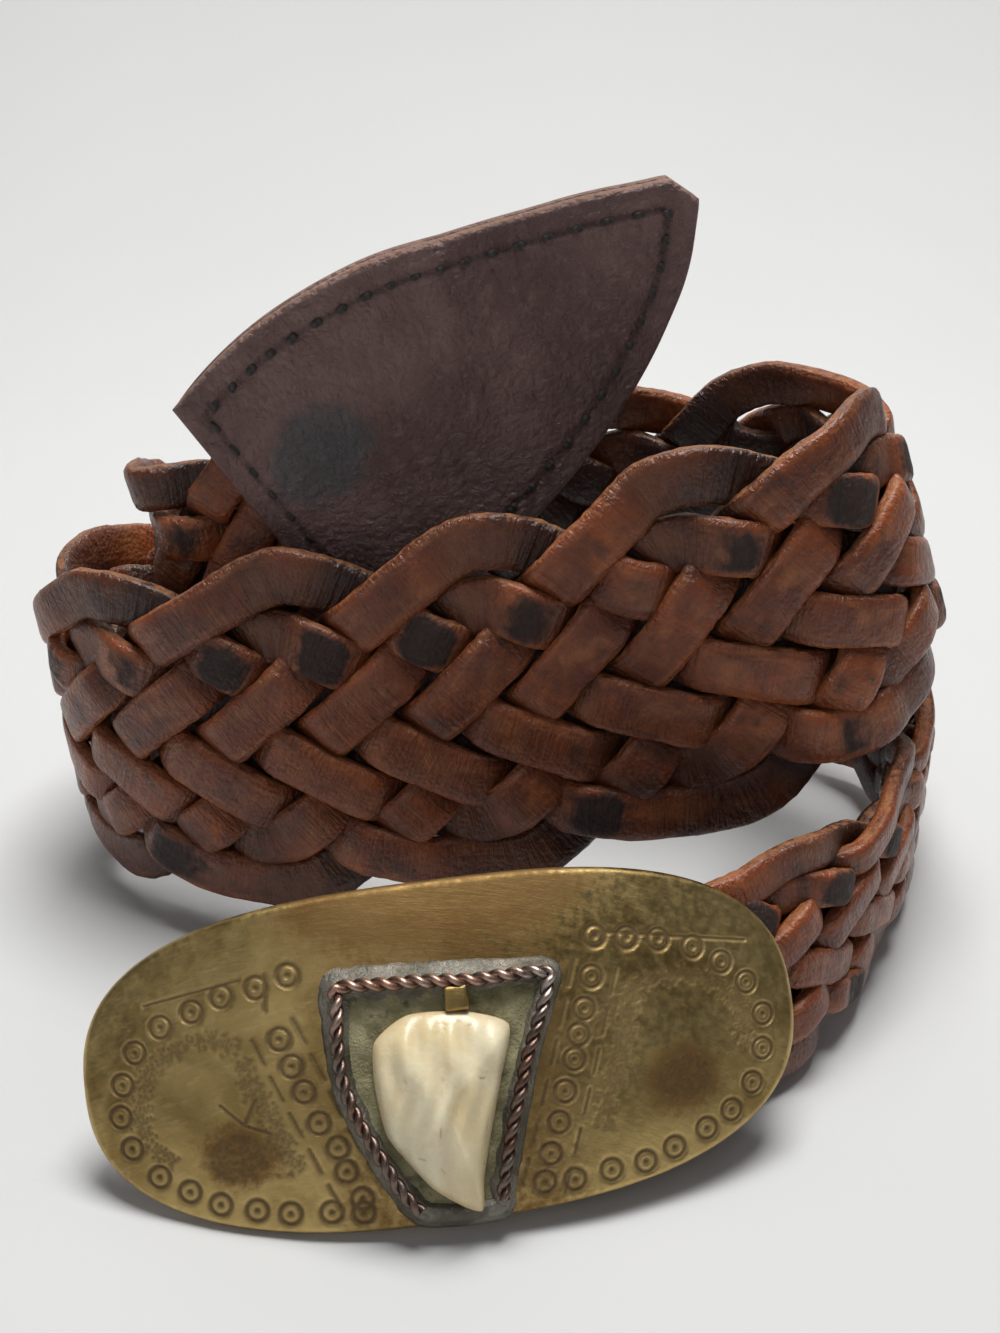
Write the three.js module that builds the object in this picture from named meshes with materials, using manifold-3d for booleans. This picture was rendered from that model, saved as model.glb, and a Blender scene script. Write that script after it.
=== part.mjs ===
// Braided leather belt, coiled as it lies, with a domed brass plate buckle. Millimetres, +Z up.
// The braid runs from behind the buckle once round the coil, rises across the front, goes round
// the back a second time and ends in a stitched leather tip. Directions are seen from the front.
import * as THREE from 'three';
import { mergeVertices } from 'three/addons/utils/BufferGeometryUtils.js';
import Module from 'manifold-3d';

const wasm = await Module();
wasm.setup();

// Braid
const BRAID_WIDTH = 66;
const BRAID_THICKNESS = 5.4;
const STRAND_RELIEF = 1.1;
const EDGE_SCALLOP = 2.2;
const PLAIT_PITCH = 16.4;
const PLAIT_ROWS = 11;
const ROWS_ACROSS = 10;
const STEP_LENGTH = 3.6;
// Leather tip
const TIP_LENGTH = 92;
const TIP_WIDTH = 52;
const TIP_LAYER = 2.0;
const TIP_LEAD = 8;
const TIP_STEPS = 22;
const TIP_ROWS = 8;
// Buckle
const BUCKLE_LENGTH = 96;
const BUCKLE_HEIGHT = 44;
const PLATE_THICKNESS = 1.8;
const PLATE_BOW = 11;
const PLATE_CROWN = 3;
const CELL_HEIGHT = 2.6;
const ROPE_WIDTH = 2.4;
const PRONG_WIDTH = 3.6;
const PRONG_LENGTH = 3.2;
const TOOTH_RISE = 4.2;
const BAR_DIAMETER = 3.2;
const BAR_SPAN = 34;
const BAR_CORNER = 4;
const HOOK_REACH = 9;
const HOOK_WIDTH = 9;
const FOLD_THICKNESS = 2;
const FOLD_WIDTH = 29;
const FOLD_LENGTH = 11;
// How far behind the plate's crest, above its middle and right of it the strap end lies
const STRAP_DEPTH = 13.8;
const STRAP_RISE = 3;
const STRAP_PLACE = 12;
const STRAP_LEAD = 15;
// Fits
const GAP = 0.3;
// Where the buckle lies: its centre on the plate, and how it leans back, turns and rolls
const BUCKLE_PLACE = { x: -7, y: -69.5, z: 22.9, lean: 33, turn: 4, roll: 5 };
// Where the coil's middle lies, so that the whole stands on its own base centre
const ROUTE_MIDDLE = { x: -0.81, y: -7.01, z: -0.04 };

// The coil's route, chosen by hand: the band's middle, its lean (top inward), its share of width
const COIL = [
  { x: 38, y: -46, z: 18.3, lean: 18, width: 0.56 },
  { x: 50, y: -34, z: 18, lean: 5, width: 0.54 },
  { x: 60, y: -18, z: 17.6, lean: 0, width: 0.53 },
  { x: 66, y: -2, z: 17.6, lean: 0, width: 0.53 },
  { x: 70, y: 14, z: 18, lean: -2, width: 0.54 },
  { x: 66, y: 32, z: 21, lean: -8, width: 0.64 },
  { x: 47, y: 47, z: 27, lean: -15, width: 0.84 },
  { x: 20, y: 53, z: 31, lean: -20, width: 0.96 },
  { x: -14, y: 52, z: 31, lean: -22, width: 0.97 },
  { x: -42, y: 43, z: 29, lean: -24, width: 0.94 },
  { x: -62, y: 28, z: 28, lean: -18, width: 0.88 },
  { x: -70, y: 12, z: 28.5, lean: -8, width: 0.86 },
  { x: -65, y: 0, z: 30.5, lean: -2, width: 0.92 },
  { x: -50, y: -10, z: 34, lean: 2, width: 0.98 },
  { x: -30, y: -14, z: 37, lean: 4, width: 1 },
  { x: -10, y: -16, z: 41, lean: 5, width: 1 },
  { x: 9, y: -17, z: 46, lean: 5, width: 1 },
  { x: 26, y: -17, z: 52, lean: 5, width: 1 },
  { x: 41, y: -16, z: 58.5, lean: 6, width: 1 },
  { x: 53, y: -12, z: 65, lean: 12, width: 0.95 },
  { x: 61, y: -2, z: 68.5, lean: 18, width: 0.9 },
  { x: 60, y: 13, z: 69, lean: 18, width: 0.88 },
  { x: 50, y: 26, z: 63, lean: 14, width: 0.92 },
  { x: 32, y: 34, z: 53, lean: 8, width: 0.98 },
  { x: 9, y: 36, z: 45, lean: 0, width: 1 },
  { x: -16, y: 34, z: 42, lean: -3, width: 1 },
  { x: -38, y: 26, z: 43, lean: -4, width: 0.98 },
  { x: -50, y: 17, z: 45, lean: -2, width: 0.94 },
  { x: -51, y: 8, z: 47.5, lean: 0, width: 0.88 },
  { x: -46, y: 2, z: 51.5, lean: 0, width: 0.82 },
  { x: -38, y: 0, z: 57, lean: 0, width: 0.78 },
];

// The tip's middle line from the braid's end, as shares of its length, and half its width
const TIP_ROUTE = [
  { right: 0, back: 0, up: 0 },
  { right: 0.27, back: -0.015, up: 0.2 },
  { right: 0.5, back: 0.02, up: 0.4 },
  { right: 0.69, back: 0.05, up: 0.64 },
];
const TIP_OUTLINE = [
  { at: 0, half: 0.5 },
  { at: 0.3, half: 0.5 },
  { at: 0.55, half: 0.44 },
  { at: 0.75, half: 0.32 },
  { at: 0.9, half: 0.19 },
  { at: 1, half: 0.05 },
];

// The cell and the tooth on the plate, as shares of the plate's half length and half height
const CELL_OUTLINE = [
  { x: -0.31, y: 0.56 },
  { x: 0.02, y: 0.57 },
  { x: 0.35, y: 0.52 },
  { x: 0.275, y: 0.17 },
  { x: 0.19, y: -0.3 },
  { x: 0.155, y: -0.62 },
  { x: 0.115, y: -0.86 },
  { x: 0.02, y: -0.9 },
  { x: -0.12, y: -0.74 },
  { x: -0.23, y: -0.38 },
  { x: -0.3, y: 0.06 },
];
const TOOTH_OUTLINE = [
  { x: -0.2, y: 0.33 },
  { x: -0.06, y: 0.37 },
  { x: 0.18, y: 0.3 },
  { x: 0.205, y: 0.16 },
  { x: 0.145, y: -0.16 },
  { x: 0.098, y: -0.52 },
  { x: 0.07, y: -0.76 },
  { x: 0.02, y: -0.79 },
  { x: -0.09, y: -0.66 },
  { x: -0.17, y: -0.38 },
  { x: -0.205, y: 0 },
];

const UP = new THREE.Vector3(0, 0, 1);
const radians = THREE.MathUtils.degToRad;

// The buckle's own frame: along the plate, up it, and out of its face, with its crest at nought
function buckleMatrix() {
  const place = BUCKLE_PLACE;
  const matrix = new THREE.Matrix4().makeTranslation(place.x, place.y, place.z);
  matrix.multiply(new THREE.Matrix4().makeRotationZ(radians(place.turn)));
  matrix.multiply(new THREE.Matrix4().makeRotationX(radians(90 - place.lean)));
  return matrix.multiply(new THREE.Matrix4().makeRotationZ(radians(place.roll)));
}

// The route starts straight behind the plate and then follows the coil
function strapRow(x) {
  const point = new THREE.Vector3(x, STRAP_RISE, -STRAP_DEPTH).applyMatrix4(buckleMatrix());
  return { x: point.x, y: point.y, z: point.z, lean: BUCKLE_PLACE.lean, width: COIL[0].width };
}
const ROUTE = [strapRow(STRAP_PLACE), strapRow(STRAP_PLACE + STRAP_LEAD), ...COIL];

// A smooth value through a table's rows, by Catmull and Rom's rule
function between(rows, name, place) {
  const last = rows.length - 1;
  const index = Math.min(Math.floor(place), last - 1);
  const part = place - index;
  const value = (row) => rows[THREE.MathUtils.clamp(row, 0, last)][name];
  const a = index > 0 ? value(index - 1) : 2 * value(0) - value(1);
  const b = value(index);
  const c = value(index + 1);
  const d = index < last - 1 ? value(index + 2) : 2 * value(last) - value(last - 1);
  const bend = (2 * a - 5 * b + 4 * c - d) * part ** 2;
  return 0.5 * (2 * b + (c - a) * part + bend + (3 * b - a - 3 * c + d) * part ** 3);
}

// The middle of the band at a place in the route
function routePoint(place) {
  return new THREE.Vector3(
    between(ROUTE, 'x', place),
    between(ROUTE, 'y', place),
    between(ROUTE, 'z', place),
  );
}

// The band's directions at a place: along it, across it (upward) and out of its outer face
function routeFrame(place) {
  const last = ROUTE.length - 1;
  const before = routePoint(Math.max(place - 0.05, 0));
  const after = routePoint(Math.min(place + 0.05, last));
  const along = after.sub(before).normalize();
  const inward = new THREE.Vector3().crossVectors(UP, along).normalize();
  const upright = new THREE.Vector3().crossVectors(along, inward).normalize();
  const lean = radians(between(ROUTE, 'lean', place));
  const across = upright.multiplyScalar(Math.cos(lean)).addScaledVector(inward, Math.sin(lean));
  const outward = new THREE.Vector3().crossVectors(along, across).normalize();
  return { middle: routePoint(place), along, across, outward };
}

// Places in the route at even steps of length
function evenPlaces(step) {
  const last = ROUTE.length - 1;
  const fine = 40 * last;
  const run = [0];
  for (let i = 1; i <= fine; i += 1) {
    const from = routePoint(((i - 1) / fine) * last);
    run.push(run[i - 1] + from.distanceTo(routePoint((i / fine) * last)));
  }
  const count = Math.round(run[fine] / step);
  const places = [];
  let j = 0;
  for (let i = 0; i <= count; i += 1) {
    const length = (run[fine] * i) / count;
    while (j < fine - 1 && run[j + 1] < length) j += 1;
    const part = (length - run[j]) / (run[j + 1] - run[j]);
    places.push({ place: ((j + part) / fine) * last, length });
  }
  return places;
}

// A closed body from rings of points, with a flat end at the first and the last ring
function loftedBody(rings) {
  const points = rings.flat();
  const size = rings[0].length;
  const faces = [];
  for (let i = 0; i < rings.length - 1; i += 1) {
    for (let j = 0; j < size; j += 1) {
      const a = i * size + j;
      const b = i * size + ((j + 1) % size);
      faces.push(a, b, b + size, a, b + size, a + size);
    }
  }
  const half = size / 2;
  const end = (rings.length - 1) * size;
  for (let j = 0; j < half - 1; j += 1) {
    const k = size - 1 - j;
    faces.push(j, k, j + 1, j + 1, k, k - 1);
    faces.push(end + j, end + j + 1, end + k, end + j + 1, end + k - 1, end + k);
  }
  const geometry = new THREE.BufferGeometry();
  const flat = points.flatMap((point) => [point.x, point.y, point.z]);
  geometry.setAttribute('position', new THREE.Float32BufferAttribute(flat, 3));
  geometry.setIndex(faces);
  return facingOut(geometry);
}

// The same body with its faces turned outwards if they point in
function facingOut(geometry) {
  const index = geometry.getIndex().array;
  const position = geometry.getAttribute('position');
  const corner = [new THREE.Vector3(), new THREE.Vector3(), new THREE.Vector3()];
  let volume = 0;
  for (let i = 0; i < index.length; i += 3) {
    corner.forEach((point, k) => point.fromBufferAttribute(position, index[i + k]));
    volume += corner[0].dot(corner[1].clone().cross(corner[2]));
  }
  if (volume < 0) {
    const turned = Array.from(index);
    for (let i = 0; i < turned.length; i += 3) {
      [turned[i + 1], turned[i + 2]] = [turned[i + 2], turned[i + 1]];
    }
    geometry.setIndex(turned);
  }
  return geometry;
}

// A manifold solid from a geometry, and a geometry from a manifold solid
function solidOf(geometry) {
  const bare = new THREE.BufferGeometry();
  bare.setAttribute('position', geometry.getAttribute('position').clone());
  if (geometry.getIndex()) bare.setIndex(Array.from(geometry.getIndex().array));
  const merged = mergeVertices(bare, 1e-4);
  return new wasm.Manifold(new wasm.Mesh({
    numProp: 3,
    vertProperties: new Float32Array(merged.getAttribute('position').array),
    triVerts: new Uint32Array(merged.getIndex().array),
  }));
}

function geometryOf(solid) {
  const mesh = solid.getMesh();
  const geometry = new THREE.BufferGeometry();
  geometry.setAttribute('position', new THREE.Float32BufferAttribute(mesh.vertProperties, 3));
  geometry.setIndex(Array.from(mesh.triVerts));
  return geometry;
}

function makeMesh(name, geometry, material) {
  geometry.computeVertexNormals();
  const mesh = new THREE.Mesh(geometry, material);
  mesh.name = name;
  return mesh;
}

// Height of the strands' ribs: each row leans one way, and its ribs follow that lean
function ribHeight(length, row) {
  const rowLean = [1, -1, 1, 1, -1, -1, 1, -1];
  const nearest = THREE.MathUtils.clamp(Math.round(row), 1, 8);
  const slant = rowLean[nearest - 1] * (row - nearest) / 2;
  const phase = length / PLAIT_PITCH + slant - nearest / 2;
  return STRAND_RELIEF * Math.cos(2 * Math.PI * phase);
}

// The braid: a band carried along the route, with ribs on both faces and looped edges
function makeBraid() {
  const rings = evenPlaces(STEP_LENGTH).map(({ place, length }) => {
    const { middle, across, outward } = routeFrame(place);
    const share = between(ROUTE, 'width', place);
    const turn = Math.PI * length / PLAIT_PITCH;
    const topEdge = BRAID_WIDTH / 2 - EDGE_SCALLOP / 2 * (1 + Math.sin(turn));
    const lowEdge = BRAID_WIDTH / 2 - EDGE_SCALLOP / 2 * (1 - Math.cos(turn));
    const outer = [];
    const inner = [];
    for (let i = 0; i < ROWS_ACROSS; i += 1) {
      const side = 2 * i / (ROWS_ACROSS - 1) - 1;
      const up = (side > 0 ? topEdge : lowEdge) * side * share;
      const row = (1 - side) / 2 * PLAIT_ROWS - 1;
      const full = Math.sqrt(1 - 0.72 * Math.abs(side) ** 5);
      const relief = ribHeight(length, row) * (1 - side ** 6);
      const half = BRAID_THICKNESS / 2 * full + relief * full;
      const back = BRAID_THICKNESS / 2 * full - relief * full * 0.6;
      const base = middle.clone().addScaledVector(across, up);
      outer.push(base.clone().addScaledVector(outward, half));
      inner.push(base.clone().addScaledVector(outward, -back));
    }
    return [...outer, ...inner.reverse()];
  });
  return loftedBody(rings);
}

// The tip's middle line starts at the braid's end and keeps turning up
function tipFrames() {
  const last = ROUTE.length - 1;
  const end = routeFrame(last);
  const start = end.middle.clone().addScaledVector(end.along, GAP);
  const stops = TIP_ROUTE.map((row) => start.clone()
    .add(new THREE.Vector3(row.right, row.back, row.up).multiplyScalar(TIP_LENGTH)));
  stops.splice(1, 0, start.clone().addScaledVector(end.along, TIP_LEAD));
  const line = new THREE.CatmullRomCurve3(stops);
  const frames = [];
  for (let i = 0; i <= TIP_STEPS; i += 1) {
    const at = 1 - (1 - i / TIP_STEPS) ** 1.25;
    const along = line.getTangentAt(at);
    const inward = new THREE.Vector3().crossVectors(UP, along).normalize();
    const across = new THREE.Vector3().crossVectors(along, inward).normalize();
    const outward = new THREE.Vector3().crossVectors(along, across).normalize();
    frames.push({ at, middle: line.getPointAt(at), across, outward });
    if (i === 0) Object.assign(frames[0], { across: end.across, outward: end.outward });
  }
  return frames;
}

// Half the tip's width at a share of its length, as a share of its width
function tipHalf(at) {
  const row = TIP_OUTLINE.findIndex((stop, i) => i > 0 && at <= stop.at);
  const before = TIP_OUTLINE[row - 1];
  const part = (at - before.at) / (TIP_OUTLINE[row].at - before.at);
  return between(TIP_OUTLINE, 'half', row - 1 + part);
}

// One leather layer of the tip, from its face at the seam to its face in the open
function makeTipLayer(near, far) {
  const rings = tipFrames().map(({ at, middle, across, outward }) => {
    const half = tipHalf(at) * TIP_WIDTH;
    const front = [];
    const back = [];
    for (let i = 0; i <= TIP_ROWS; i += 1) {
      const side = 2 * i / TIP_ROWS - 1;
      const base = middle.clone().addScaledVector(across, side * half);
      front.push(base.clone().addScaledVector(outward, far));
      back.push(base.clone().addScaledVector(outward, near));
    }
    return [...front, ...back.reverse()];
  });
  return loftedBody(rings);
}

// Height of the plate's front face at a place on the plate, its crest at nought
function plateFace(x, y) {
  const alongShare = x / (BUCKLE_LENGTH / 2);
  const acrossShare = y / (BUCKLE_HEIGHT / 2);
  return -PLATE_BOW * alongShare ** 2 - PLATE_CROWN * acrossShare ** 2;
}

// A closed shell over an outline: the same place on the plate at two heights over its face
function shellOver(outlineAt, ringShares, count, lowOver, highOver) {
  const points = [];
  const faces = [];
  const ringsEach = ringShares.length;
  for (const over of [lowOver, highOver]) {
    points.push(new THREE.Vector3(...outlineAt(0, 0, over)));
    for (const share of ringShares) {
      for (let i = 0; i < count; i += 1) {
        points.push(new THREE.Vector3(...outlineAt(i / count, share, over)));
      }
    }
  }
  const skin = 1 + ringsEach * count;
  const at = (level, ring, i) => level * skin + 1 + ring * count + (i % count);
  for (const level of [0, 1]) {
    for (let i = 0; i < count; i += 1) {
      const fan = [level * skin, at(level, 0, i), at(level, 0, i + 1)];
      faces.push(...(level ? fan : fan.reverse()));
      for (let ring = 0; ring < ringsEach - 1; ring += 1) {
        const a = at(level, ring, i);
        const b = at(level, ring, i + 1);
        const c = at(level, ring + 1, i + 1);
        const d = at(level, ring + 1, i);
        faces.push(...(level ? [a, d, c, a, c, b] : [a, c, d, a, b, c]));
      }
    }
  }
  for (let i = 0; i < count; i += 1) {
    const a = at(0, ringsEach - 1, i);
    const b = at(0, ringsEach - 1, i + 1);
    const c = at(1, ringsEach - 1, i + 1);
    const d = at(1, ringsEach - 1, i);
    faces.push(a, b, c, a, c, d);
  }
  const geometry = new THREE.BufferGeometry();
  const flat = points.flatMap((point) => [point.x, point.y, point.z]);
  geometry.setAttribute('position', new THREE.Float32BufferAttribute(flat, 3));
  geometry.setIndex(faces);
  return facingOut(geometry);
}

// The plate's outline: an oblong with full round ends
function plateOutline(turn) {
  const angle = 2 * Math.PI * turn;
  const bulge = (value, power) => Math.sign(value) * Math.abs(value) ** power;
  return [
    BUCKLE_LENGTH / 2 * bulge(Math.cos(angle), 0.72),
    BUCKLE_HEIGHT / 2 * bulge(Math.sin(angle), 0.8),
  ];
}

function makePlate() {
  const at = (turn, share, over) => {
    const [x, y] = plateOutline(turn);
    return [x * share, y * share, plateFace(x * share, y * share) + over];
  };
  return shellOver(at, [0.25, 0.5, 0.72, 0.9, 1], 56, -PLATE_THICKNESS, 0);
}

// A closed curve through an outline's rows, in the plate's own place
function outlinePoints(rows, count) {
  const stops = rows.map((row) => new THREE.Vector3(
    row.x * BUCKLE_LENGTH / 2, row.y * BUCKLE_HEIGHT / 2, 0));
  return new THREE.CatmullRomCurve3(stops, true, 'catmullrom', 0.35).getSpacedPoints(count);
}

// The cell: a low wall with a rope of wire on it, standing on the plate round the tooth
function makeCell() {
  const count = 44;
  const line = outlinePoints(CELL_OUTLINE, count);
  const rings = [];
  for (let i = 0; i < count; i += 1) {
    const before = line[(i + count - 1) % count];
    const after = line[i + 1];
    const side = new THREE.Vector3(before.y - after.y, after.x - before.x, 0).normalize();
    const ring = [[1, -0.6], [1, 0.5], [0.5, 1], [-0.5, 1], [-1, 0.5], [-1, -0.6]]
      .map(([out, up]) => {
        const point = line[i].clone().addScaledVector(side, out * ROPE_WIDTH / 2);
        const height = up > 0 ? up * CELL_HEIGHT : up * PLATE_THICKNESS;
        point.z = plateFace(point.x, point.y) + height;
        return point;
      });
    rings.push(ring);
  }
  const points = rings.flat();
  const size = rings[0].length;
  const faces = [];
  for (let i = 0; i < count; i += 1) {
    for (let j = 0; j < size; j += 1) {
      const a = i * size + j;
      const b = i * size + ((j + 1) % size);
      const c = ((i + 1) % count) * size + ((j + 1) % size);
      const d = ((i + 1) % count) * size + j;
      faces.push(a, b, c, a, c, d);
    }
  }
  const geometry = new THREE.BufferGeometry();
  const flat = points.flatMap((point) => [point.x, point.y, point.z]);
  geometry.setAttribute('position', new THREE.Float32BufferAttribute(flat, 3));
  geometry.setIndex(faces);
  return facingOut(geometry);
}

// The prong: a small block at the cell's top side, over the tooth's root
function makeProng() {
  const block = new THREE.BoxGeometry(PRONG_WIDTH, PRONG_LENGTH, CELL_HEIGHT + PLATE_THICKNESS);
  const y = CELL_OUTLINE[1].y * BUCKLE_HEIGHT / 2 - ROPE_WIDTH / 2;
  block.translate(0, y, plateFace(0, y) + (CELL_HEIGHT - PLATE_THICKNESS) / 2);
  return block;
}

// The bend of the strap end: its middle place and its inner radius
function foldBend() {
  return { x: STRAP_PLACE - GAP, radius: BRAID_THICKNESS / 2 + STRAND_RELIEF + GAP };
}

// The bar: a wire bow soldered behind the plate, which the strap end goes round
function makeBar() {
  const bend = foldBend();
  const x = bend.x - bend.radius + BAR_DIAMETER / 2 + GAP;
  const half = BAR_SPAN / 2;
  const at = (y, z) => new THREE.Vector3(x, STRAP_RISE + y, z);
  const foot = (y) => at(y, plateFace(x, STRAP_RISE + y) - PLATE_THICKNESS / 2);
  const bent = -STRAP_DEPTH + BAR_CORNER;
  const path = new THREE.CurvePath();
  path.add(new THREE.LineCurve3(foot(-half), at(-half, bent)));
  path.add(new THREE.QuadraticBezierCurve3(
    at(-half, bent), at(-half, -STRAP_DEPTH), at(BAR_CORNER - half, -STRAP_DEPTH)));
  path.add(new THREE.LineCurve3(
    at(BAR_CORNER - half, -STRAP_DEPTH), at(half - BAR_CORNER, -STRAP_DEPTH)));
  path.add(new THREE.QuadraticBezierCurve3(
    at(half - BAR_CORNER, -STRAP_DEPTH), at(half, -STRAP_DEPTH), at(half, bent)));
  path.add(new THREE.LineCurve3(at(half, bent), foot(half)));
  const section = new THREE.Shape();
  section.absarc(0, 0, BAR_DIAMETER / 2, 0, 2 * Math.PI);
  return new THREE.ExtrudeGeometry(section, { steps: 30, curveSegments: 5, extrudePath: path });
}

// The leather strap end: folded round the bar, with a flap on each side of the braid
function makeFold() {
  const bend = foldBend();
  const outer = bend.radius + FOLD_THICKNESS;
  const end = bend.x + FOLD_LENGTH;
  const side = new THREE.Shape();
  side.moveTo(end, outer);
  side.lineTo(bend.x, outer);
  side.absarc(bend.x, 0, outer, Math.PI / 2, 3 * Math.PI / 2, false);
  side.lineTo(end, -outer);
  side.lineTo(end, -bend.radius);
  side.lineTo(bend.x, -bend.radius);
  side.absarc(bend.x, 0, bend.radius, 3 * Math.PI / 2, Math.PI / 2, true);
  side.lineTo(end, bend.radius);
  const body = new THREE.ExtrudeGeometry(
    side, { depth: FOLD_WIDTH, bevelEnabled: false, curveSegments: 8 });
  body.rotateX(Math.PI / 2);
  body.translate(0, STRAP_RISE + FOLD_WIDTH / 2, -STRAP_DEPTH);
  return solidGeometry(body);
}

// A geometry with its shared corners joined
function solidGeometry(geometry) {
  return geometryOf(solidOf(geometry));
}

// The hook: a plain strip soldered behind the left end, bent over to catch the braid
function makeHook() {
  const x = -BUCKLE_LENGTH * 0.3;
  const top = plateFace(x, 0) - PLATE_THICKNESS * 0.5;
  const low = plateFace(x, 0) - PLATE_THICKNESS - HOOK_REACH;
  const strip = PLATE_THICKNESS;
  const side = new THREE.Shape();
  side.moveTo(x, top);
  side.lineTo(x, low);
  side.lineTo(x - HOOK_REACH, low);
  side.lineTo(x - HOOK_REACH, low + strip);
  side.lineTo(x - strip, low + strip);
  side.lineTo(x - strip, top);
  const body = new THREE.ExtrudeGeometry(side, { depth: HOOK_WIDTH, bevelEnabled: false });
  body.rotateX(Math.PI / 2);
  body.translate(0, HOOK_WIDTH / 2, 0);
  return body;
}

// The plate with everything that is soldered to it, as one solid
function makeBuckle() {
  return [makeCell(), makeProng(), makeBar(), makeHook()]
    .reduce((solid, piece) => solid.add(solidOf(piece)), solidOf(makePlate()));
}

// The tooth: domed over its own outline, seated on the plate inside the cell
function makeTooth() {
  const count = 36;
  const line = outlinePoints(TOOTH_OUTLINE, count);
  const centre = line.slice(0, count)
    .reduce((sum, point) => sum.add(point), new THREE.Vector3())
    .multiplyScalar(1 / count);
  const at = (turn, share, over) => {
    const rim = line[Math.round(turn * count) % count];
    const x = centre.x + (rim.x - centre.x) * share;
    const y = centre.y + (rim.y - centre.y) * share;
    const dome = over * Math.sqrt(1.04 - share ** 2);
    return [x, y, plateFace(x, y) + GAP + dome];
  };
  return shellOver(at, [0.3, 0.6, 0.85, 1], count, 0, TOOTH_RISE);
}

const strandLeather = new THREE.MeshStandardMaterial({ color: 0x5a2f22, roughness: 0.5 });
const tipLeather = new THREE.MeshStandardMaterial({ color: 0x4a3634, roughness: 0.45 });
const brass = new THREE.MeshStandardMaterial({ color: 0x8b703c, roughness: 0.4, metalness: 1 });
const ivory = new THREE.MeshStandardMaterial({ color: 0xe6d8b4, roughness: 0.3 });

const belt = new THREE.Group();
belt.add(makeMesh('braid', makeBraid(), strandLeather));
belt.add(makeMesh('tip_front', makeTipLayer(GAP / 2, GAP / 2 + TIP_LAYER), tipLeather));
belt.add(makeMesh('tip_back', makeTipLayer(-GAP / 2, -GAP / 2 - TIP_LAYER), tipLeather));

const buckle = new THREE.Group();
buckle.applyMatrix4(buckleMatrix());
buckle.add(makeMesh('buckle_plate', geometryOf(makeBuckle()), brass));
buckle.add(makeMesh('tooth', makeTooth(), ivory));
buckle.add(makeMesh('buckle_fold', makeFold(), tipLeather));
belt.add(buckle);
belt.position.set(-ROUTE_MIDDLE.x, -ROUTE_MIDDLE.y, -ROUTE_MIDDLE.z);

export default belt;
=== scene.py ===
"""A braided leather belt lying in a loose coil: nine plaited strands, a stitched leather tip,
and a brass plate buckle with a carved tooth. Lengths in the tables and sizes are millimetres."""

import bpy
import numpy as np
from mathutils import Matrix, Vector


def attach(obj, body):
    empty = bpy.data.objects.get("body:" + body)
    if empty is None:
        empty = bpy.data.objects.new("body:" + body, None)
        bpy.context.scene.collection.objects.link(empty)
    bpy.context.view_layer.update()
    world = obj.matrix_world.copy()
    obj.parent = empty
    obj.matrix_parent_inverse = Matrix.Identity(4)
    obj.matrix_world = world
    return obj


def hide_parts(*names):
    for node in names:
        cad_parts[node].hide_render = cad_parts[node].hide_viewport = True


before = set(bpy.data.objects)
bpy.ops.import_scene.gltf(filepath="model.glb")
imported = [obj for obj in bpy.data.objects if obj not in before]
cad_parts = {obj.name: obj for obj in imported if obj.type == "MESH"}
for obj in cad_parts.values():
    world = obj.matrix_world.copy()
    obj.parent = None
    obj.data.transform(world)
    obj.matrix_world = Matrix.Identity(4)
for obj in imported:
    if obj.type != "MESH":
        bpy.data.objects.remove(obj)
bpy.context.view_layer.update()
MM = 0.001
UP = np.array([0.0, 0.0, 1.0])

# Braid
STRANDS = 9
PLAIT_PITCH = 16.4
PLAIT_REPEAT = 18
ROW_SPACING = 5.6
MIDDLE_ROW = 4.5
STRAND_WIDTH = 8.5
STRAND_THICKNESS = 3.0
STRAND_RISE = 1.95
STRAND_STEP = 1.1
STRAND_SIDES = 16
CORNER_ROUNDING = 16
RISE_ROUNDING = 3
FINE_STEP = 0.25
# Leather tip
TIP_LENGTH = 92
TIP_WIDTH = 52
TIP_LAYER = 2.0
TIP_LEAD = 8
TIP_BASE = 9.5
TIP_BOW = 6.0
TIP_BULGE = 1.2
TIP_EDGE = 0.75
LAYER_LIFT = 0.15
STITCH_INSET = 4.2
STITCH_PITCH = 4.3
STITCH_HALF = 1.15
GROOVE_WIDTH = 0.5
GROOVE_DEPTH = 0.32
# Buckle
BUCKLE_LENGTH = 96
BUCKLE_HEIGHT = 44
PLATE_THICKNESS = 1.8
PLATE_BOW = 11
PLATE_CROWN = 3
PLATE_EDGE = 0.9
PLATE_ROUNDING = 0.8
PLATE_ROWS = 170
ENGRAVED_FROM = 11
END_ROUNDING = 0.72
SIDE_ROUNDING = 0.8
STAMP_RADIUS = 1.4
STAMP_SPACING = 4.6
STAMP_DEPTH = 0.3
DOT_DEPTH = 0.32
SCORE_DEPTH = 0.24
SCORE_LENGTH = 3.4
SCORE_SPACING = 5.2
STIPPLE_DEPTH = 0.17
BORDER_INSET = (5.2, 6.0)
BORDER_MIDDLE = -3.2
ROPE_WIDTH = 2.4
ROPE_TURNS = 23
ROPE_HEIGHT = 1.75
WIRE_RADIUS = 0.52
WIRE_SWING = 0.42
PRONG_WIDTH = 3.6
PRONG_LENGTH = 3.2
PRONG_PLACE = 2.2
TOOTH_RISE = 4.2
BAR_DIAMETER = 3.2
BAR_SPAN = 34
BAR_CORNER = 4
HOOK_REACH = 9
HOOK_WIDTH = 9
HOOK_CORNER = 3
HOOK_PLACE = -0.6
SOLDER_DEPTH = 0.8
FOLD_THICKNESS = 2
FOLD_WIDTH = 29
FOLD_LENGTH = 11
FOLD_ROOM = 1.1
BRAID_THICKNESS = 5.4
STRAP_DEPTH = 13.8
STRAP_RISE = 3
STRAP_PLACE = 12
STRAP_LEAD = 15
GAP = 0.3
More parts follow.
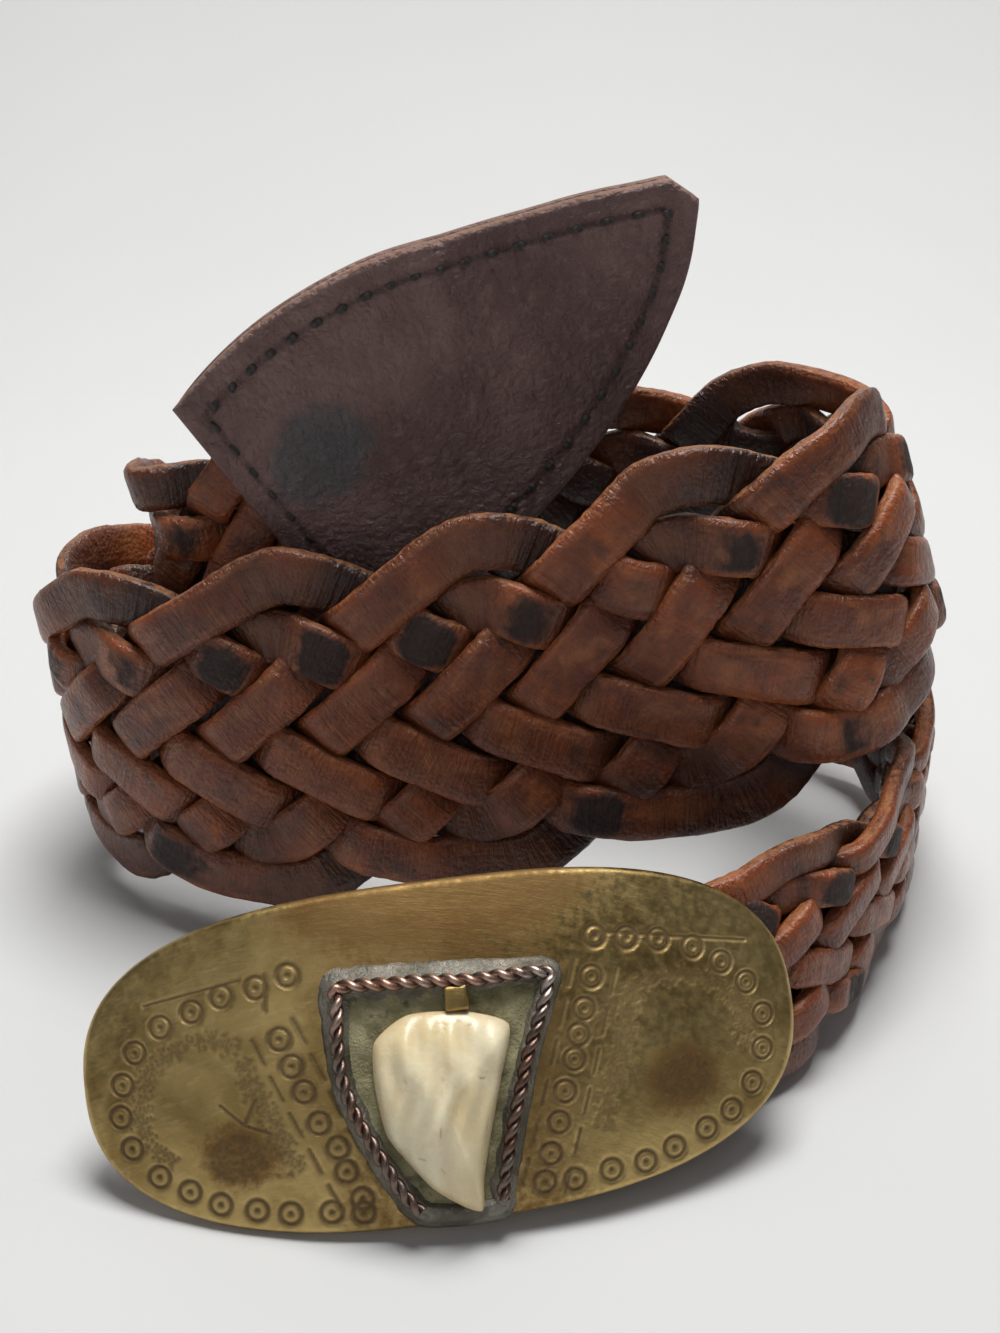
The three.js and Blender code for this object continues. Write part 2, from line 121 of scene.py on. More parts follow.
BUCKLE_PLACE = {"x": -7, "y": -69.5, "z": 22.9, "lean": 33, "turn": 4, "roll": 5}
ROUTE_MIDDLE = np.array([-0.81, -7.01, -0.04])

# The coil's route: right, back and up to the band's middle, its lean in degrees (top inward)
# and its share of the full width
COIL = np.array([
    (38, -46, 18.3, 18, 0.56),
    (50, -34, 18, 5, 0.54),
    (60, -18, 17.6, 0, 0.53),
    (66, -2, 17.6, 0, 0.53),
    (70, 14, 18, -2, 0.54),
    (66, 32, 21, -8, 0.64),
    (47, 47, 27, -15, 0.84),
    (20, 53, 31, -20, 0.96),
    (-14, 52, 31, -22, 0.97),
    (-42, 43, 29, -24, 0.94),
    (-62, 28, 28, -18, 0.86),
    (-70, 12, 28.5, -8, 0.82),
    (-65, 0, 30.5, -2, 0.88),
    (-50, -10, 34, 2, 0.98),
    (-30, -14, 37, 4, 1),
    (-10, -16, 41, 5, 1),
    (9, -17, 46, 5, 1),
    (26, -17, 52, 5, 1),
    (41, -16, 58.5, 6, 1),
    (53, -12, 63.5, 12, 0.89),
    (61, -2, 65.5, 18, 0.79),
    (60, 13, 65.5, 18, 0.74),
    (50, 26, 60.5, 14, 0.8),
    (32, 34, 52, 8, 0.93),
    (9, 36, 45, 0, 1),
    (-16, 34, 42, -3, 1),
    (-38, 26, 43, -4, 0.98),
    (-50, 17, 45, -2, 0.94),
    (-51, 8, 47.5, 0, 0.88),
    (-46, 2, 51.5, 0, 0.82),
    (-38, 0, 57, 0, 0.78),
])

# The tip's middle line from the braid's end (right, back, up), as shares of its length
TIP_ROUTE = np.array([
    (0, 0, 0),
    (0.27, -0.015, 0.2),
    (0.5, 0.02, 0.4),
    (0.69, 0.05, 0.64),
])
# Half the tip's width at shares of its length, as shares of its full width
TIP_OUTLINE = np.array([
    (0, 0.5),
    (0.3, 0.5),
    (0.55, 0.44),
    (0.75, 0.32),
    (0.9, 0.19),
    (1, 0.05),
])

# The cell's and the tooth's outlines, as shares of half the plate's length and height
CELL_OUTLINE = np.array([
    (-0.272, 0.41),
    (-0.24, 0.455),
    (0.03, 0.42),
    (0.284, 0.39),
    (0.29, 0.3),
    (0.21, -0.11),
    (0.153, -0.49),
    (0.11, -0.81),
    (0.09, -0.93),
    (-0.098, -0.91),
    (-0.165, -0.72),
    (-0.237, -0.38),
    (-0.279, -0.04),
])
TOOTH_OUTLINE = np.array([
    (-0.183, 0.12),
    (-0.088, 0.25),
    (0.06, 0.23),
    (0.177, 0.12),
    (0.14, -0.17),
    (0.096, -0.48),
    (0.063, -0.74),
    (0.05, -0.93),
    (0.0, -0.89),
    (-0.075, -0.76),
    (-0.135, -0.58),
    (-0.181, -0.41),
    (-0.196, -0.12),
])
# The stamped columns beside the cell: their upper and lower ends on the plate
LEFT_COLUMN = np.array([(-21.2, 4.2), (-12.6, -17.4)])
RIGHT_COLUMN = np.array([(20.3, 7.0), (11.0, -18.0)])


def unit(vectors):
    """Each row divided by its own length."""
    return vectors / np.linalg.norm(vectors, axis=-1, keepdims=True)


def aside_of(way):
    """Flat directions turned a quarter to the left."""
    return np.stack([-way[..., 1], way[..., 0]], axis=-1)


def eased(share):
    """A share that starts and stops softly: three times its square less twice its cube."""
    return share * share * (3 - 2 * share)


def squared(wave, power):
    """A sine or cosine raised to a power with its sign kept, so that its circle grows square."""
    return np.sign(wave) * np.abs(wave) ** power


def run_of(points):
    """The length run along a line to each of its points."""
    return np.r_[0, np.cumsum(np.linalg.norm(np.diff(points, axis=0), axis=1))]


def at_run(places, run, points):
    """What a line's points hold at lengths run along it."""
    return np.stack([np.interp(places, run, column) for column in points.T], axis=1)


def evened(points, count):
    """A line set again at even steps, and the length run to each."""
    run = run_of(points)
    even = np.linspace(0, run[-1], count)
    return at_run(even, run, points), even


def between(t, start, leaving, end, arriving):
    """Places from one stop to the next by the cubic that has a given slope at both."""
    return ((2 * t ** 3 - 3 * t ** 2 + 1) * start + (t ** 3 - 2 * t ** 2 + t) * leaving
            + (3 * t ** 2 - 2 * t ** 3) * end + (t ** 3 - t ** 2) * arriving)


def through(rows, places):
    """Rows of a table at fractional places, each slope half the step between its neighbours."""
    first = 2 * rows[0] - rows[1]
    last = 2 * rows[-1] - rows[-2]
    padded = np.vstack([first, rows, last])
    index = np.clip(np.floor(places).astype(int), 0, len(rows) - 2)
    part = (places - index)[:, None]
    a, b, c, d = (padded[index + k] for k in range(4))
    return between(part, b, (c - a) / 2, c, (d - b) / 2)


def centripetal(stops, knots, count):
    """A smooth line through stops at uneven knots: cubic pieces with centripetal slopes."""
    slopes = np.empty_like(stops)
    gaps = np.diff(knots)[:, None]
    rises = np.diff(stops, axis=0) / gaps
    slopes[1:-1] = (rises[:-1] * gaps[1:] + rises[1:] * gaps[:-1]) / (gaps[1:] + gaps[:-1])
    slopes[0] = 2 * rises[0] - slopes[1]
    slopes[-1] = 2 * rises[-1] - slopes[-2]
    at = np.linspace(knots[0], knots[-1], count)
    index = np.clip(np.searchsorted(knots, at, side="right") - 1, 0, len(stops) - 2)
    gap = gaps[index]
    t = (at[:, None] - knots[index][:, None]) / gap
    return between(t, stops[index], gap * slopes[index],
                   stops[index + 1], gap * slopes[index + 1])


def turning(axis, degrees):
    """Turning matrix about x (0) or z (2) by an angle in degrees."""
    angle = np.radians(degrees)
    c, s = np.cos(angle), np.sin(angle)
    if axis == 0:
        return np.array([[1, 0, 0], [0, c, -s], [0, s, c]])
    return np.array([[c, -s, 0], [s, c, 0], [0, 0, 1]])


BUCKLE_TURN = (turning(2, BUCKLE_PLACE["turn"]) @ turning(0, 90 - BUCKLE_PLACE["lean"])
               @ turning(2, BUCKLE_PLACE["roll"]))
BUCKLE_CREST = np.array([BUCKLE_PLACE["x"], BUCKLE_PLACE["y"], BUCKLE_PLACE["z"]])


def on_buckle(points):
    """Points of the buckle's own frame (along, up, out of its face) in the route's frame."""
    return points @ BUCKLE_TURN.T + BUCKLE_CREST


def strap_row(x):
    """A row of the route where the strap end lies straight behind the plate."""
    point = on_buckle(np.array([x, STRAP_RISE, -STRAP_DEPTH]))
    return np.array([*point, BUCKLE_PLACE["lean"], COIL[0, 4]])


ROUTE = np.vstack([strap_row(STRAP_PLACE), strap_row(STRAP_PLACE + STRAP_LEAD), COIL])


def band_frames(count=1600):
    """The band's middle line at even steps with its directions: along, across and outward."""
    fine = through(ROUTE, np.linspace(0, len(ROUTE) - 1, count * 6))
    run = run_of(fine[:, :3])
    length = np.linspace(0, run[-1], count)
    rows = at_run(length, run, fine)
    middle = rows[:, :3]
    along = unit(np.gradient(middle, axis=0))
    inward = unit(np.cross(UP, along))
    upright = unit(np.cross(along, inward))
    lean = np.radians(rows[:, 3:4])
    across = upright * np.cos(lean) + inward * np.sin(lean)
    outward = unit(np.cross(along, across))
    return {"length": length, "middle": middle, "along": along, "across": across,
            "outward": outward, "share": rows[:, 4]}


BAND = band_frames()
BRAID_LENGTH = BAND["length"][-1]


def tip_frames(steps):
    """The tip's middle line, across and outward, at shares of its length from the braid's end."""
    end = {key: value[-1] for key, value in BAND.items()}
    start = end["middle"] + end["along"] * GAP
    stops = start + TIP_ROUTE * TIP_LENGTH
    stops = np.insert(stops, 1, start + end["along"] * TIP_LEAD, axis=0)
    knots = np.r_[0, np.cumsum(np.sqrt(np.linalg.norm(np.diff(stops, axis=0), axis=1)))]
    fine = centripetal(stops, knots, 1500)
    run = run_of(fine)
    middle = at_run(steps * run[-1], run, fine)
    along = unit(at_run(steps * run[-1], run, np.gradient(fine, axis=0)))
    inward = unit(np.cross(UP, along))
    across = unit(np.cross(along, inward))
    blend = np.exp(-(steps * run[-1] / 2.5) ** 2)[:, None]
    across = unit(across * (1 - blend) + end["across"] * blend)
    outward = unit(np.cross(along, across))
    return middle, across, outward


def waves(at, seed, count=5, longest=60.0):
    """Smooth unevenness from -1 to 1 along a length: a sum of sines with seeded phases."""
    rng = np.random.default_rng(seed)
    total = np.zeros_like(at)
    for k in range(count):
        total += np.sin(2 * np.pi * at * (k + 1) / longest * rng.uniform(0.7, 1.3)
                        + rng.uniform(0, 2 * np.pi)) / (k + 1)
    return total / 2


def new_mesh(name, points, faces, material, uv=None, values=None):
    """A smooth mesh from points in the route's frame, with its material, UV and values."""
    mesh = bpy.data.meshes.new(name)
    flat = (np.asarray(points).reshape(-1, 3) - ROUTE_MIDDLE) * MM
    faces = np.asarray(faces, dtype=np.int32)
    starts = np.arange(0, faces.size, faces.shape[1], dtype=np.int32)
    mesh.vertices.add(len(flat))
    mesh.vertices.foreach_set("co", flat.astype(np.float32).ravel())
    mesh.loops.add(faces.size)
    mesh.loops.foreach_set("vertex_index", faces.ravel())
    mesh.polygons.add(len(faces))
    mesh.polygons.foreach_set("loop_start", starts)
    mesh.polygons.foreach_set("use_smooth", np.ones(len(faces), dtype=bool))
    mesh.update(calc_edges=True)
    if uv is not None:
        layer = mesh.uv_layers.new(name="surface")
        layer.data.foreach_set("uv", uv[faces.ravel()].astype(np.float32).ravel())
    for key, value in (values or {}).items():
        layer = mesh.attributes.new(key, "FLOAT", "POINT")
        layer.data.foreach_set("value", np.asarray(value, dtype=np.float32).ravel())
    mesh.validate()
    piece = bpy.data.objects.new(name, mesh)
    bpy.context.collection.objects.link(piece)
    mesh.materials.append(material)
    return piece


def grid_faces(rows, columns, closed_rows=False, closed_columns=False):
    """Four-sided faces of a grid of points, wrapped round where a direction is closed."""
    i = np.arange(rows if closed_rows else rows - 1)
    j = np.arange(columns if closed_columns else columns - 1)
    i, j = np.meshgrid(i, j, indexing="ij")
    i2, j2 = (i + 1) % rows, (j + 1) % columns
    corners = [i * columns + j, i2 * columns + j, i2 * columns + j2, i * columns + j2]
    return np.stack(corners, axis=-1).reshape(-1, 4)


def tube_faces(rows, columns):
    """Faces of a closed tube or dome with its two ends filled by strips across the section."""
    sides = grid_faces(rows, columns, closed_columns=True)[:, ::-1]
    j = np.arange(columns // 2 - 1)
    k = columns - 1 - j
    start = np.stack([j, j + 1, k - 1, k], axis=-1)
    return np.vstack([sides, start[:, ::-1], (rows - 1) * columns + start])


def half_turned(count):
    """Angles of a section's points, set half a step off so that its ends fill evenly."""
    return (np.arange(count) + 0.5) * 2 * np.pi / count


def strap_section(columns, width_power, thickness_power):
    """A rounded oblong: shares of half the width and half the thickness round a section."""
    angle = half_turned(columns)
    return squared(np.cos(angle), width_power), squared(np.sin(angle), thickness_power)


# Materials
def connect(tree, made, key, value):
    """An input linked where its value comes from a node, or else set."""
    if isinstance(value, bpy.types.NodeSocket):
        tree.links.new(value, made.inputs[key])
    else:
        made.inputs[key].default_value = value


def node(tree, kind, values=None, **settings):
    """A node with its settings, its input sockets linked or set by name or index."""
    made = tree.nodes.new(kind)
    for key, value in settings.items():
        setattr(made, key, value)
    for key, value in (values or {}).items():
        connect(tree, made, key, value)
    return made


def maths(tree, operation, a, b):
    """The result of one arithmetic node."""
    return node(tree, "ShaderNodeMath", {0: a, 1: b}, operation=operation).outputs[0]


def times(tree, a, b):
    """The product of two values."""
    return maths(tree, "MULTIPLY", a, b)


def plus(tree, a, b):
    """The sum of two values."""
    return maths(tree, "ADD", a, b)


def span(tree, value, low, high, to_low=0.0, to_high=1.0):
    """A value brought smoothly from one range to another."""
    return node(tree, "ShaderNodeMapRange", {0: value, 1: low, 2: high, 3: to_low, 4: to_high},
                interpolation_type="SMOOTHSTEP").outputs[0]


def mixed(tree, factor, a, b):
    """Two colours mixed by a factor; a plain one is given as red, green and blue, linear."""
    made = node(tree, "ShaderNodeMix", {0: factor}, data_type="RGBA")
    for key, value in ((6, a), (7, b)):
        connect(tree, made, key, (*value, 1.0) if isinstance(value, tuple) else value)
    return made.outputs[2]


def tinted(tree, base, mask, share, tint):
    """A colour brought towards a tint where a mask is high, by a share at most."""
    return mixed(tree, times(tree, mask, share), base, tint)


def noise(tree, place, scale, detail=4.0, roughness=0.55, distortion=0.0):
    """The grey value of a noise texture."""
    return node(tree, "ShaderNodeTexNoise",
                {"Vector": place, "Scale": scale, "Detail": detail, "Roughness": roughness,
                 "Distortion": distortion}).outputs[0]


def stretched(tree, place, scale, rotation=(0.0, 0.0, 0.0)):
    """A place turned and stretched, so that a texture on it runs one way."""
    return node(tree, "ShaderNodeMapping",
                {"Vector": place, "Rotation": rotation, "Scale": scale}).outputs[0]


def new_group(name, inputs, outputs):
    """A node group with its sockets: the tree, what comes in and what goes out."""
    tree = bpy.data.node_groups.new(name, "ShaderNodeTree")
    for label, kind, value in inputs:
        socket = tree.interface.new_socket(name=label, in_out="INPUT", socket_type=kind)
        if value is not None:
            socket.default_value = value
    for label in outputs:
        tree.interface.new_socket(name=label, in_out="OUTPUT", socket_type="NodeSocketFloat")
    return tree, tree.nodes.new("NodeGroupInput").outputs, tree.nodes.new("NodeGroupOutput").inputs


def leather_grain():
    """Group: the height of a leather's pebbles, pores and fine creases."""
    tree, given, result = new_group(
        "leather_grain",
        [("Vector", "NodeSocketVector", None), ("Pebbles", "NodeSocketFloat", 1300.0)],
        ["Height"])
    pebbles = node(tree, "ShaderNodeTexVoronoi",
                   {"Vector": given["Vector"], "Scale": given["Pebbles"]},
                   feature="F1").outputs["Distance"]
    creases = noise(tree, given["Vector"], 420.0, 3.0, 0.6, 1.4)
    pores = noise(tree, given["Vector"], 2600.0, 2.0)
    height = times(tree, pebbles, -0.5)
    height = plus(tree, height, times(tree, creases, 0.9))
    height = plus(tree, height, times(tree, pores, 0.25))
    tree.links.new(height, result["Height"])
    return tree


def worn_mottle():
    """Group: broad and fine unevenness for a tint, and a rare darker stain."""
    tree, given, result = new_group(
        "worn_mottle",
        [("Vector", "NodeSocketVector", None), ("Size", "NodeSocketFloat", 60.0)],
        ["Tint", "Stain", "Fine"])
    broad = noise(tree, given["Vector"], given["Size"], 3.0, 0.6, 0.4)
    fine = noise(tree, given["Vector"], times(tree, given["Size"], 9.0), 4.0, 0.65)
    stains = noise(tree, given["Vector"], times(tree, given["Size"], 2.3), 2.0)
    tree.links.new(span(tree, broad, 0.35, 0.65), result["Tint"])
    tree.links.new(span(tree, stains, 0.58, 0.72), result["Stain"])
    tree.links.new(fine, result["Fine"])
    return tree


GRAIN = leather_grain()
MOTTLE = worn_mottle()


def use_group(tree, group, values):
    """The outputs of a node that uses a group, with its inputs set."""
    made = tree.nodes.new("ShaderNodeGroup")
    made.node_tree = group
    for key, value in values.items():
        connect(tree, made, key, value)
    return made.outputs


def mottle_at(tree, place, size):
    """The worn mottle at a size, as a material uses it."""
    return use_group(tree, MOTTLE, {"Vector": place, "Size": size})


def new_material(name):
    """An empty material: its tree, its object coordinates and its surface node."""
    material = bpy.data.materials.new(name)
    material.use_nodes = True
    tree = material.node_tree
    tree.nodes.clear()
    place = tree.nodes.new("ShaderNodeTexCoord").outputs["Object"]
    surface = tree.nodes.new("ShaderNodeBsdfPrincipled")
    output = tree.nodes.new("ShaderNodeOutputMaterial")
    tree.links.new(surface.outputs[0], output.inputs[0])
    return material, tree, place, surface


def value_of(tree, name):
    """A value stored on the mesh."""
    return node(tree, "ShaderNodeAttribute", attribute_name=name).outputs["Fac"]


def bumped(tree, surface, height, strength, distance):
    """Gives the surface a relief from a height."""
    bump = node(tree, "ShaderNodeBump",
                {"Strength": strength, "Distance": distance, "Height": height})
    tree.links.new(bump.outputs[0], surface.inputs["Normal"])


def set_inputs(tree, surface, values):
    """Links or sets a surface's inputs."""
    for key, value in values.items():
        connect(tree, surface, key, value)


def strand_leather():
    """Red-brown strap leather with painted shade where it dips under the other strands, singed in
    patches, raw tan at its edges.
    """
    material, tree, place, surface = new_material("strand_leather")
    mottle = mottle_at(tree, place, 75.0)
    uv = node(tree, "ShaderNodeUVMap", uv_map="surface").outputs[0]
    wrinkles = noise(tree, stretched(tree, uv, (6.0, 2.0, 1.0)), 1.3, 3.0, 0.65, 1.2)
    highlight_streaks = noise(tree, stretched(tree, uv, (0.8, 7.0, 1.0)), 1.6, 3.0, 0.65, 0.5)
    blotches = noise(tree, place, 210.0, 4.0, 0.6, 0.8)
    centre = times(tree, value_of(tree, "centre"), span(tree, blotches, 0.3, 0.6))
    burn = plus(tree, value_of(tree, "burn"), times(tree, blotches, 0.55))
    burn = span(tree, burn, 0.62, 0.86)
    raw = plus(tree, value_of(tree, "edge"), times(tree, mottle["Fine"], 0.9))
    raw = span(tree, raw, 1.25, 1.55)
    base = mixed(tree, mottle["Tint"], (0.135, 0.029, 0.009), (0.29, 0.07, 0.019))
    # painted highlight: lighter orange streaks along the strands, placed by noise
    base = mixed(tree, span(tree, highlight_streaks, 0.42, 0.72, 0.0, 0.6), base, (0.42, 0.15, 0.05))
    base = tinted(tree, base, centre, 0.6, (0.06, 0.017, 0.008))
    base = tinted(tree, base, mottle["Stain"], 0.6, (0.035, 0.013, 0.009))
    # painted shade: near black where the strand dips under its neighbours
    base = tinted(tree, base, value_of(tree, "recess_shade"), 0.92, (0.018, 0.007, 0.005))
    base = tinted(tree, base, burn, 0.92, (0.014, 0.009, 0.008))
    base = tinted(tree, base, raw, 0.75, (0.42, 0.17, 0.062))
    rough = plus(tree, span(tree, mottle["Fine"], 0.3, 0.7, 0.25, 0.46),
                 times(tree, maths(tree, "MAXIMUM", raw, burn), 0.3))
    set_inputs(tree, surface, {
        "Base Color": base, "Roughness": rough, "Specular IOR Level": 0.42,
        "Coat Roughness": 0.3, "Coat Weight": span(tree, burn, 0.0, 1.0, 0.16, 0.0)})
    grain = use_group(tree, GRAIN, {"Vector": place, "Pebbles": 1300.0})["Height"]
    height = plus(tree, times(tree, grain, 0.7), times(tree, wrinkles, 1.3))
    bumped(tree, surface, plus(tree, height, times(tree, raw, 0.25)), 0.75, 0.0006)
    return material


def tip_leather():
    """Brown-grey veg-tanned leather, waxed smooth, with a blue-grey smudge and tan cut edges."""
    material, tree, place, surface = new_material("tip_leather")
    mottle = mottle_at(tree, place, 48.0)
    edge = value_of(tree, "edge")
    cut = span(tree, plus(tree, edge, times(tree, mottle["Fine"], 0.4)), 0.85, 1.15, 0.0, 0.8)
    smudge = plus(tree, value_of(tree, "smudge"), times(tree, mottle["Fine"], 0.7))
    smudge = span(tree, smudge, 0.75, 1.1)
    base = mixed(tree, mottle["Tint"], (0.125, 0.066, 0.058), (0.215, 0.125, 0.112))
    base = mixed(tree, span(tree, mottle["Fine"], 0.5, 0.75, 0.0, 0.45), base, (0.3, 0.19, 0.165))
    base = tinted(tree, base, smudge, 0.75, (0.075, 0.084, 0.09))
    base = mixed(tree, cut, base, (0.21, 0.105, 0.06))
    base = tinted(tree, base, value_of(tree, "groove"), 0.55, (0.022, 0.013, 0.011))
    rough = plus(tree, span(tree, mottle["Fine"], 0.3, 0.7, 0.3, 0.48), times(tree, edge, 0.15))
    set_inputs(tree, surface, {"Base Color": base, "Roughness": rough,
                               "Specular IOR Level": 0.5})
    grain = use_group(tree, GRAIN, {"Vector": place, "Pebbles": 1000.0})["Height"]
    creases = noise(tree, place, 260.0, 6.0, 0.62, 1.8)
    height = plus(tree, times(tree, grain, 1.3), times(tree, creases, 2.0))
    bumped(tree, surface, height, 0.8, 0.0008)
    return material


def waxed_thread():
    """Dark waxed sewing thread, its two plies laid slantwise."""
    material, tree, place, surface = new_material("waxed_thread")
    plies = node(tree, "ShaderNodeTexWave", {"Vector": place, "Scale": 420.0, "Distortion": 1.5},
                 wave_type="BANDS", bands_direction="DIAGONAL").outputs["Fac"]
    fuzz = noise(tree, place, 1800.0, 3.0)
    base = mixed(tree, plies, (0.012, 0.009, 0.008), (0.04, 0.028, 0.024))
    base = mixed(tree, span(tree, fuzz, 0.55, 0.8, 0.0, 0.5), base, (0.075, 0.055, 0.045))
    set_inputs(tree, surface, {"Base Color": base, "Roughness": 0.62, "Sheen Weight": 0.15})
    bumped(tree, surface, plus(tree, plies, fuzz), 0.5, 0.0002)
    return material


def old_brass():
    """Old yellow brass: scuffed and softly shiny, brown in its cuts and in broad patches."""
    material, tree, place, surface = new_material("brass")
    mottle = mottle_at(tree, place, 85.0)
    scuffs = noise(tree, stretched(tree, place, (1.0, 9.0, 2.0), (0.3, 0.9, 0.5)), 260.0, 5.0, 0.7)
    stain = plus(tree, value_of(tree, "patina"), times(tree, mottle["Fine"], 0.6))
    stain = span(tree, stain, 0.6, 1.0)
    dent = value_of(tree, "dent")
    base = mixed(tree, mottle["Tint"], (0.31, 0.21, 0.075), (0.5, 0.36, 0.145))
    base = mixed(tree, span(tree, scuffs, 0.5, 0.75, 0.0, 0.45), base, (0.62, 0.48, 0.24))
    base = tinted(tree, base, stain, 0.72, (0.17, 0.085, 0.03))
    base = tinted(tree, base, dent, 0.75, (0.07, 0.038, 0.015))
    rough = plus(tree, span(tree, mottle["Fine"], 0.3, 0.7, 0.3, 0.48),
                 times(tree, maths(tree, "MAXIMUM", stain, dent), 0.22))
    set_inputs(tree, surface, {
        "Base Color": base, "Roughness": rough,
        "Metallic": maths(tree, "SUBTRACT", 1.0, times(tree, dent, 0.5))})
    bumped(tree, surface, plus(tree, scuffs, times(tree, mottle["Fine"], 0.8)), 0.22, 0.0003)
    return material


def twisted_wire():
    """Wire of worn silver over copper: grey on its crests and coppery where it is rubbed, with
    painted shade where the twisted wires dip down.
    """
    material, tree, place, surface = new_material("twisted_wire")
    mottle = mottle_at(tree, place, 130.0)
    base = mixed(tree, mottle["Tint"], (0.46, 0.27, 0.2), (0.5, 0.42, 0.37))
    base = tinted(tree, base, mottle["Stain"], 0.7, (0.1, 0.06, 0.045))
    # painted shade: dark where the twisted wires dip down; the rope is also darker below the cell's
    # top run
    base = tinted(tree, base, value_of(tree, "recess_shade"), 0.85, (0.035, 0.022, 0.017))
    rough = span(tree, mottle["Fine"], 0.3, 0.7, 0.3, 0.5)
    set_inputs(tree, surface, {"Base Color": base, "Metallic": 0.95, "Roughness": rough})
    bumped(tree, surface, mottle["Fine"], 0.25, 0.0003)
    return material


def grey_solder():
    """Dull grey solder, lumpy where it ran, with brassy and green-grey dirt in it."""
    material, tree, place, surface = new_material("solder")
    mottle = mottle_at(tree, place, 160.0)
    base = mixed(tree, mottle["Tint"], (0.13, 0.12, 0.095), (0.27, 0.25, 0.21))
    base = tinted(tree, base, mottle["Stain"], 0.7, (0.11, 0.1, 0.06))
    rough = span(tree, mottle["Fine"], 0.3, 0.7, 0.42, 0.66)
    set_inputs(tree, surface, {"Base Color": base, "Metallic": 0.75, "Roughness": rough})
    bumped(tree, surface, mottle["Fine"], 0.6, 0.0006)
    return material


def olive_cement():
    """Olive-grey cement, rough and gritty."""
    material, tree, place, surface = new_material("cement")
    mottle = mottle_at(tree, place, 220.0)
    base = mixed(tree, mottle["Tint"], (0.2, 0.18, 0.085), (0.34, 0.31, 0.17))
    base = tinted(tree, base, mottle["Stain"], 0.6, (0.06, 0.05, 0.03))
    set_inputs(tree, surface, {"Base Color": base, "Roughness": 0.72})
    bumped(tree, surface, mottle["Fine"], 0.7, 0.0006)
    return material


def old_tooth():
    """Cream dentine with a waxy gloss, ochre in its hair cracks, with ochre painted shade and stain
    in its hollows and round its rim.
    """
    material, tree, place, surface = new_material("tooth")
    mottle = mottle_at(tree, place, 120.0)
    cracks = node(tree, "ShaderNodeTexVoronoi", {"Vector": place, "Scale": 180.0},
                  feature="DISTANCE_TO_EDGE").outputs["Distance"]
    cracks = times(tree, span(tree, cracks, 0.0, 0.05, 1.0, 0.0), mottle["Stain"])
    base = mixed(tree, mottle["Tint"], (0.78, 0.64, 0.37), (0.86, 0.76, 0.52))
    base = tinted(tree, base, mottle["Stain"], 0.18, (0.6, 0.45, 0.22))
    # painted shade and ochre stain: in the wave troughs and round the rim against the plate
    base = tinted(tree, base, value_of(tree, "recess_shade"), 0.65, (0.42, 0.26, 0.1))
    base = tinted(tree, base, cracks, 0.5, (0.3, 0.18, 0.08))
    rough = span(tree, mottle["Fine"], 0.3, 0.7, 0.24, 0.42)
    set_inputs(tree, surface, {
        "Base Color": base, "Roughness": rough, "Subsurface Weight": 0.12,
        "Subsurface Scale": 0.0015, "Coat Weight": 0.25, "Coat Roughness": 0.2})
    bumped(tree, surface, maths(tree, "SUBTRACT", mottle["Fine"], cracks), 0.3, 0.0003)
    return material


def backdrop_paper():
    """Pale grey-white paper with a faint tooth."""
    material, tree, place, surface = new_material("backdrop_paper")
    fibres = noise(tree, place, 900.0, 4.0)
    base = mixed(tree, noise(tree, place, 6.0, 3.0), (0.6, 0.6, 0.59), (0.64, 0.64, 0.63))
    set_inputs(tree, surface, {"Base Color": base, "Roughness": 0.85,
                               "Specular IOR Level": 0.2})
    bumped(tree, surface, fibres, 0.1, 0.0002)
    return material


STRAND_LEATHER = strand_leather()
TIP_LEATHER = tip_leather()
THREAD = waxed_thread()
BRASS = old_brass()
WIRE = twisted_wire()
SOLDER = grey_solder()
CEMENT = olive_cement()
TOOTH = old_tooth()
PAPER = backdrop_paper()


# The plait: each leg's first turn as pitches and row, then the rows it crosses, over or under
LEGS = (
    (0.7, -0.6, {1: -1, 2: 1, 3: -1, 4: -1, 5: 1, 6: 1, 7: -1, 8: 1}),
    (6.35, 9.3, {8: -1, 7: 1, 6: -1, 5: -1, 4: 1, 3: 1, 2: -1}),
    (10.5, 1, {2: 1, 3: -1, 4: -1, 5: 1, 6: 1, 7: -1}),
    (14, 8, {7: 1, 6: -1, 5: -1, 4: 1, 3: 1, 2: -1, 1: 1}),
)


def plait_keys(strand):
    """Where one strand turns and crosses: place along the band in pitches, row, and over or under.

    Each strand goes from edge to edge and back in an outer and an inner zigzag, and the strands
    follow one another at 2 pitches. Over is 1, under is -1, a turn is 0.
    """
    keys = []
    for cycle in range(-2, 4):
        first = 2 * strand + PLAIT_REPEAT * cycle
        for start, row, heights in LEGS:
            keys.append((first + start, row, 0))
            for at, height in heights.items():
                keys.append((first + start + abs(at - row) / 2, at, height))
    return np.array(keys, dtype=float)


def box_filter(values, width):
    """A running mean over an odd number of samples."""
    width = int(width) | 1
    padded = np.pad(values, width // 2, mode="edge")
    return np.convolve(padded, np.ones(width) / width, mode="valid")


def at_band(places, key):
    """What the band has at places along it, going on straight past its ends."""
    kept = np.clip(places, 0, BRAID_LENGTH)
    values = BAND[key]
    if values.ndim == 1:
        return np.interp(kept, BAND["length"], values)
    result = at_run(kept, BAND["length"], values)
    if key == "middle":
        ends = np.where((places < 0)[:, None], BAND["along"][0], BAND["along"][-1])
        return result + ends * (places - kept)[:, None]
    return unit(result)


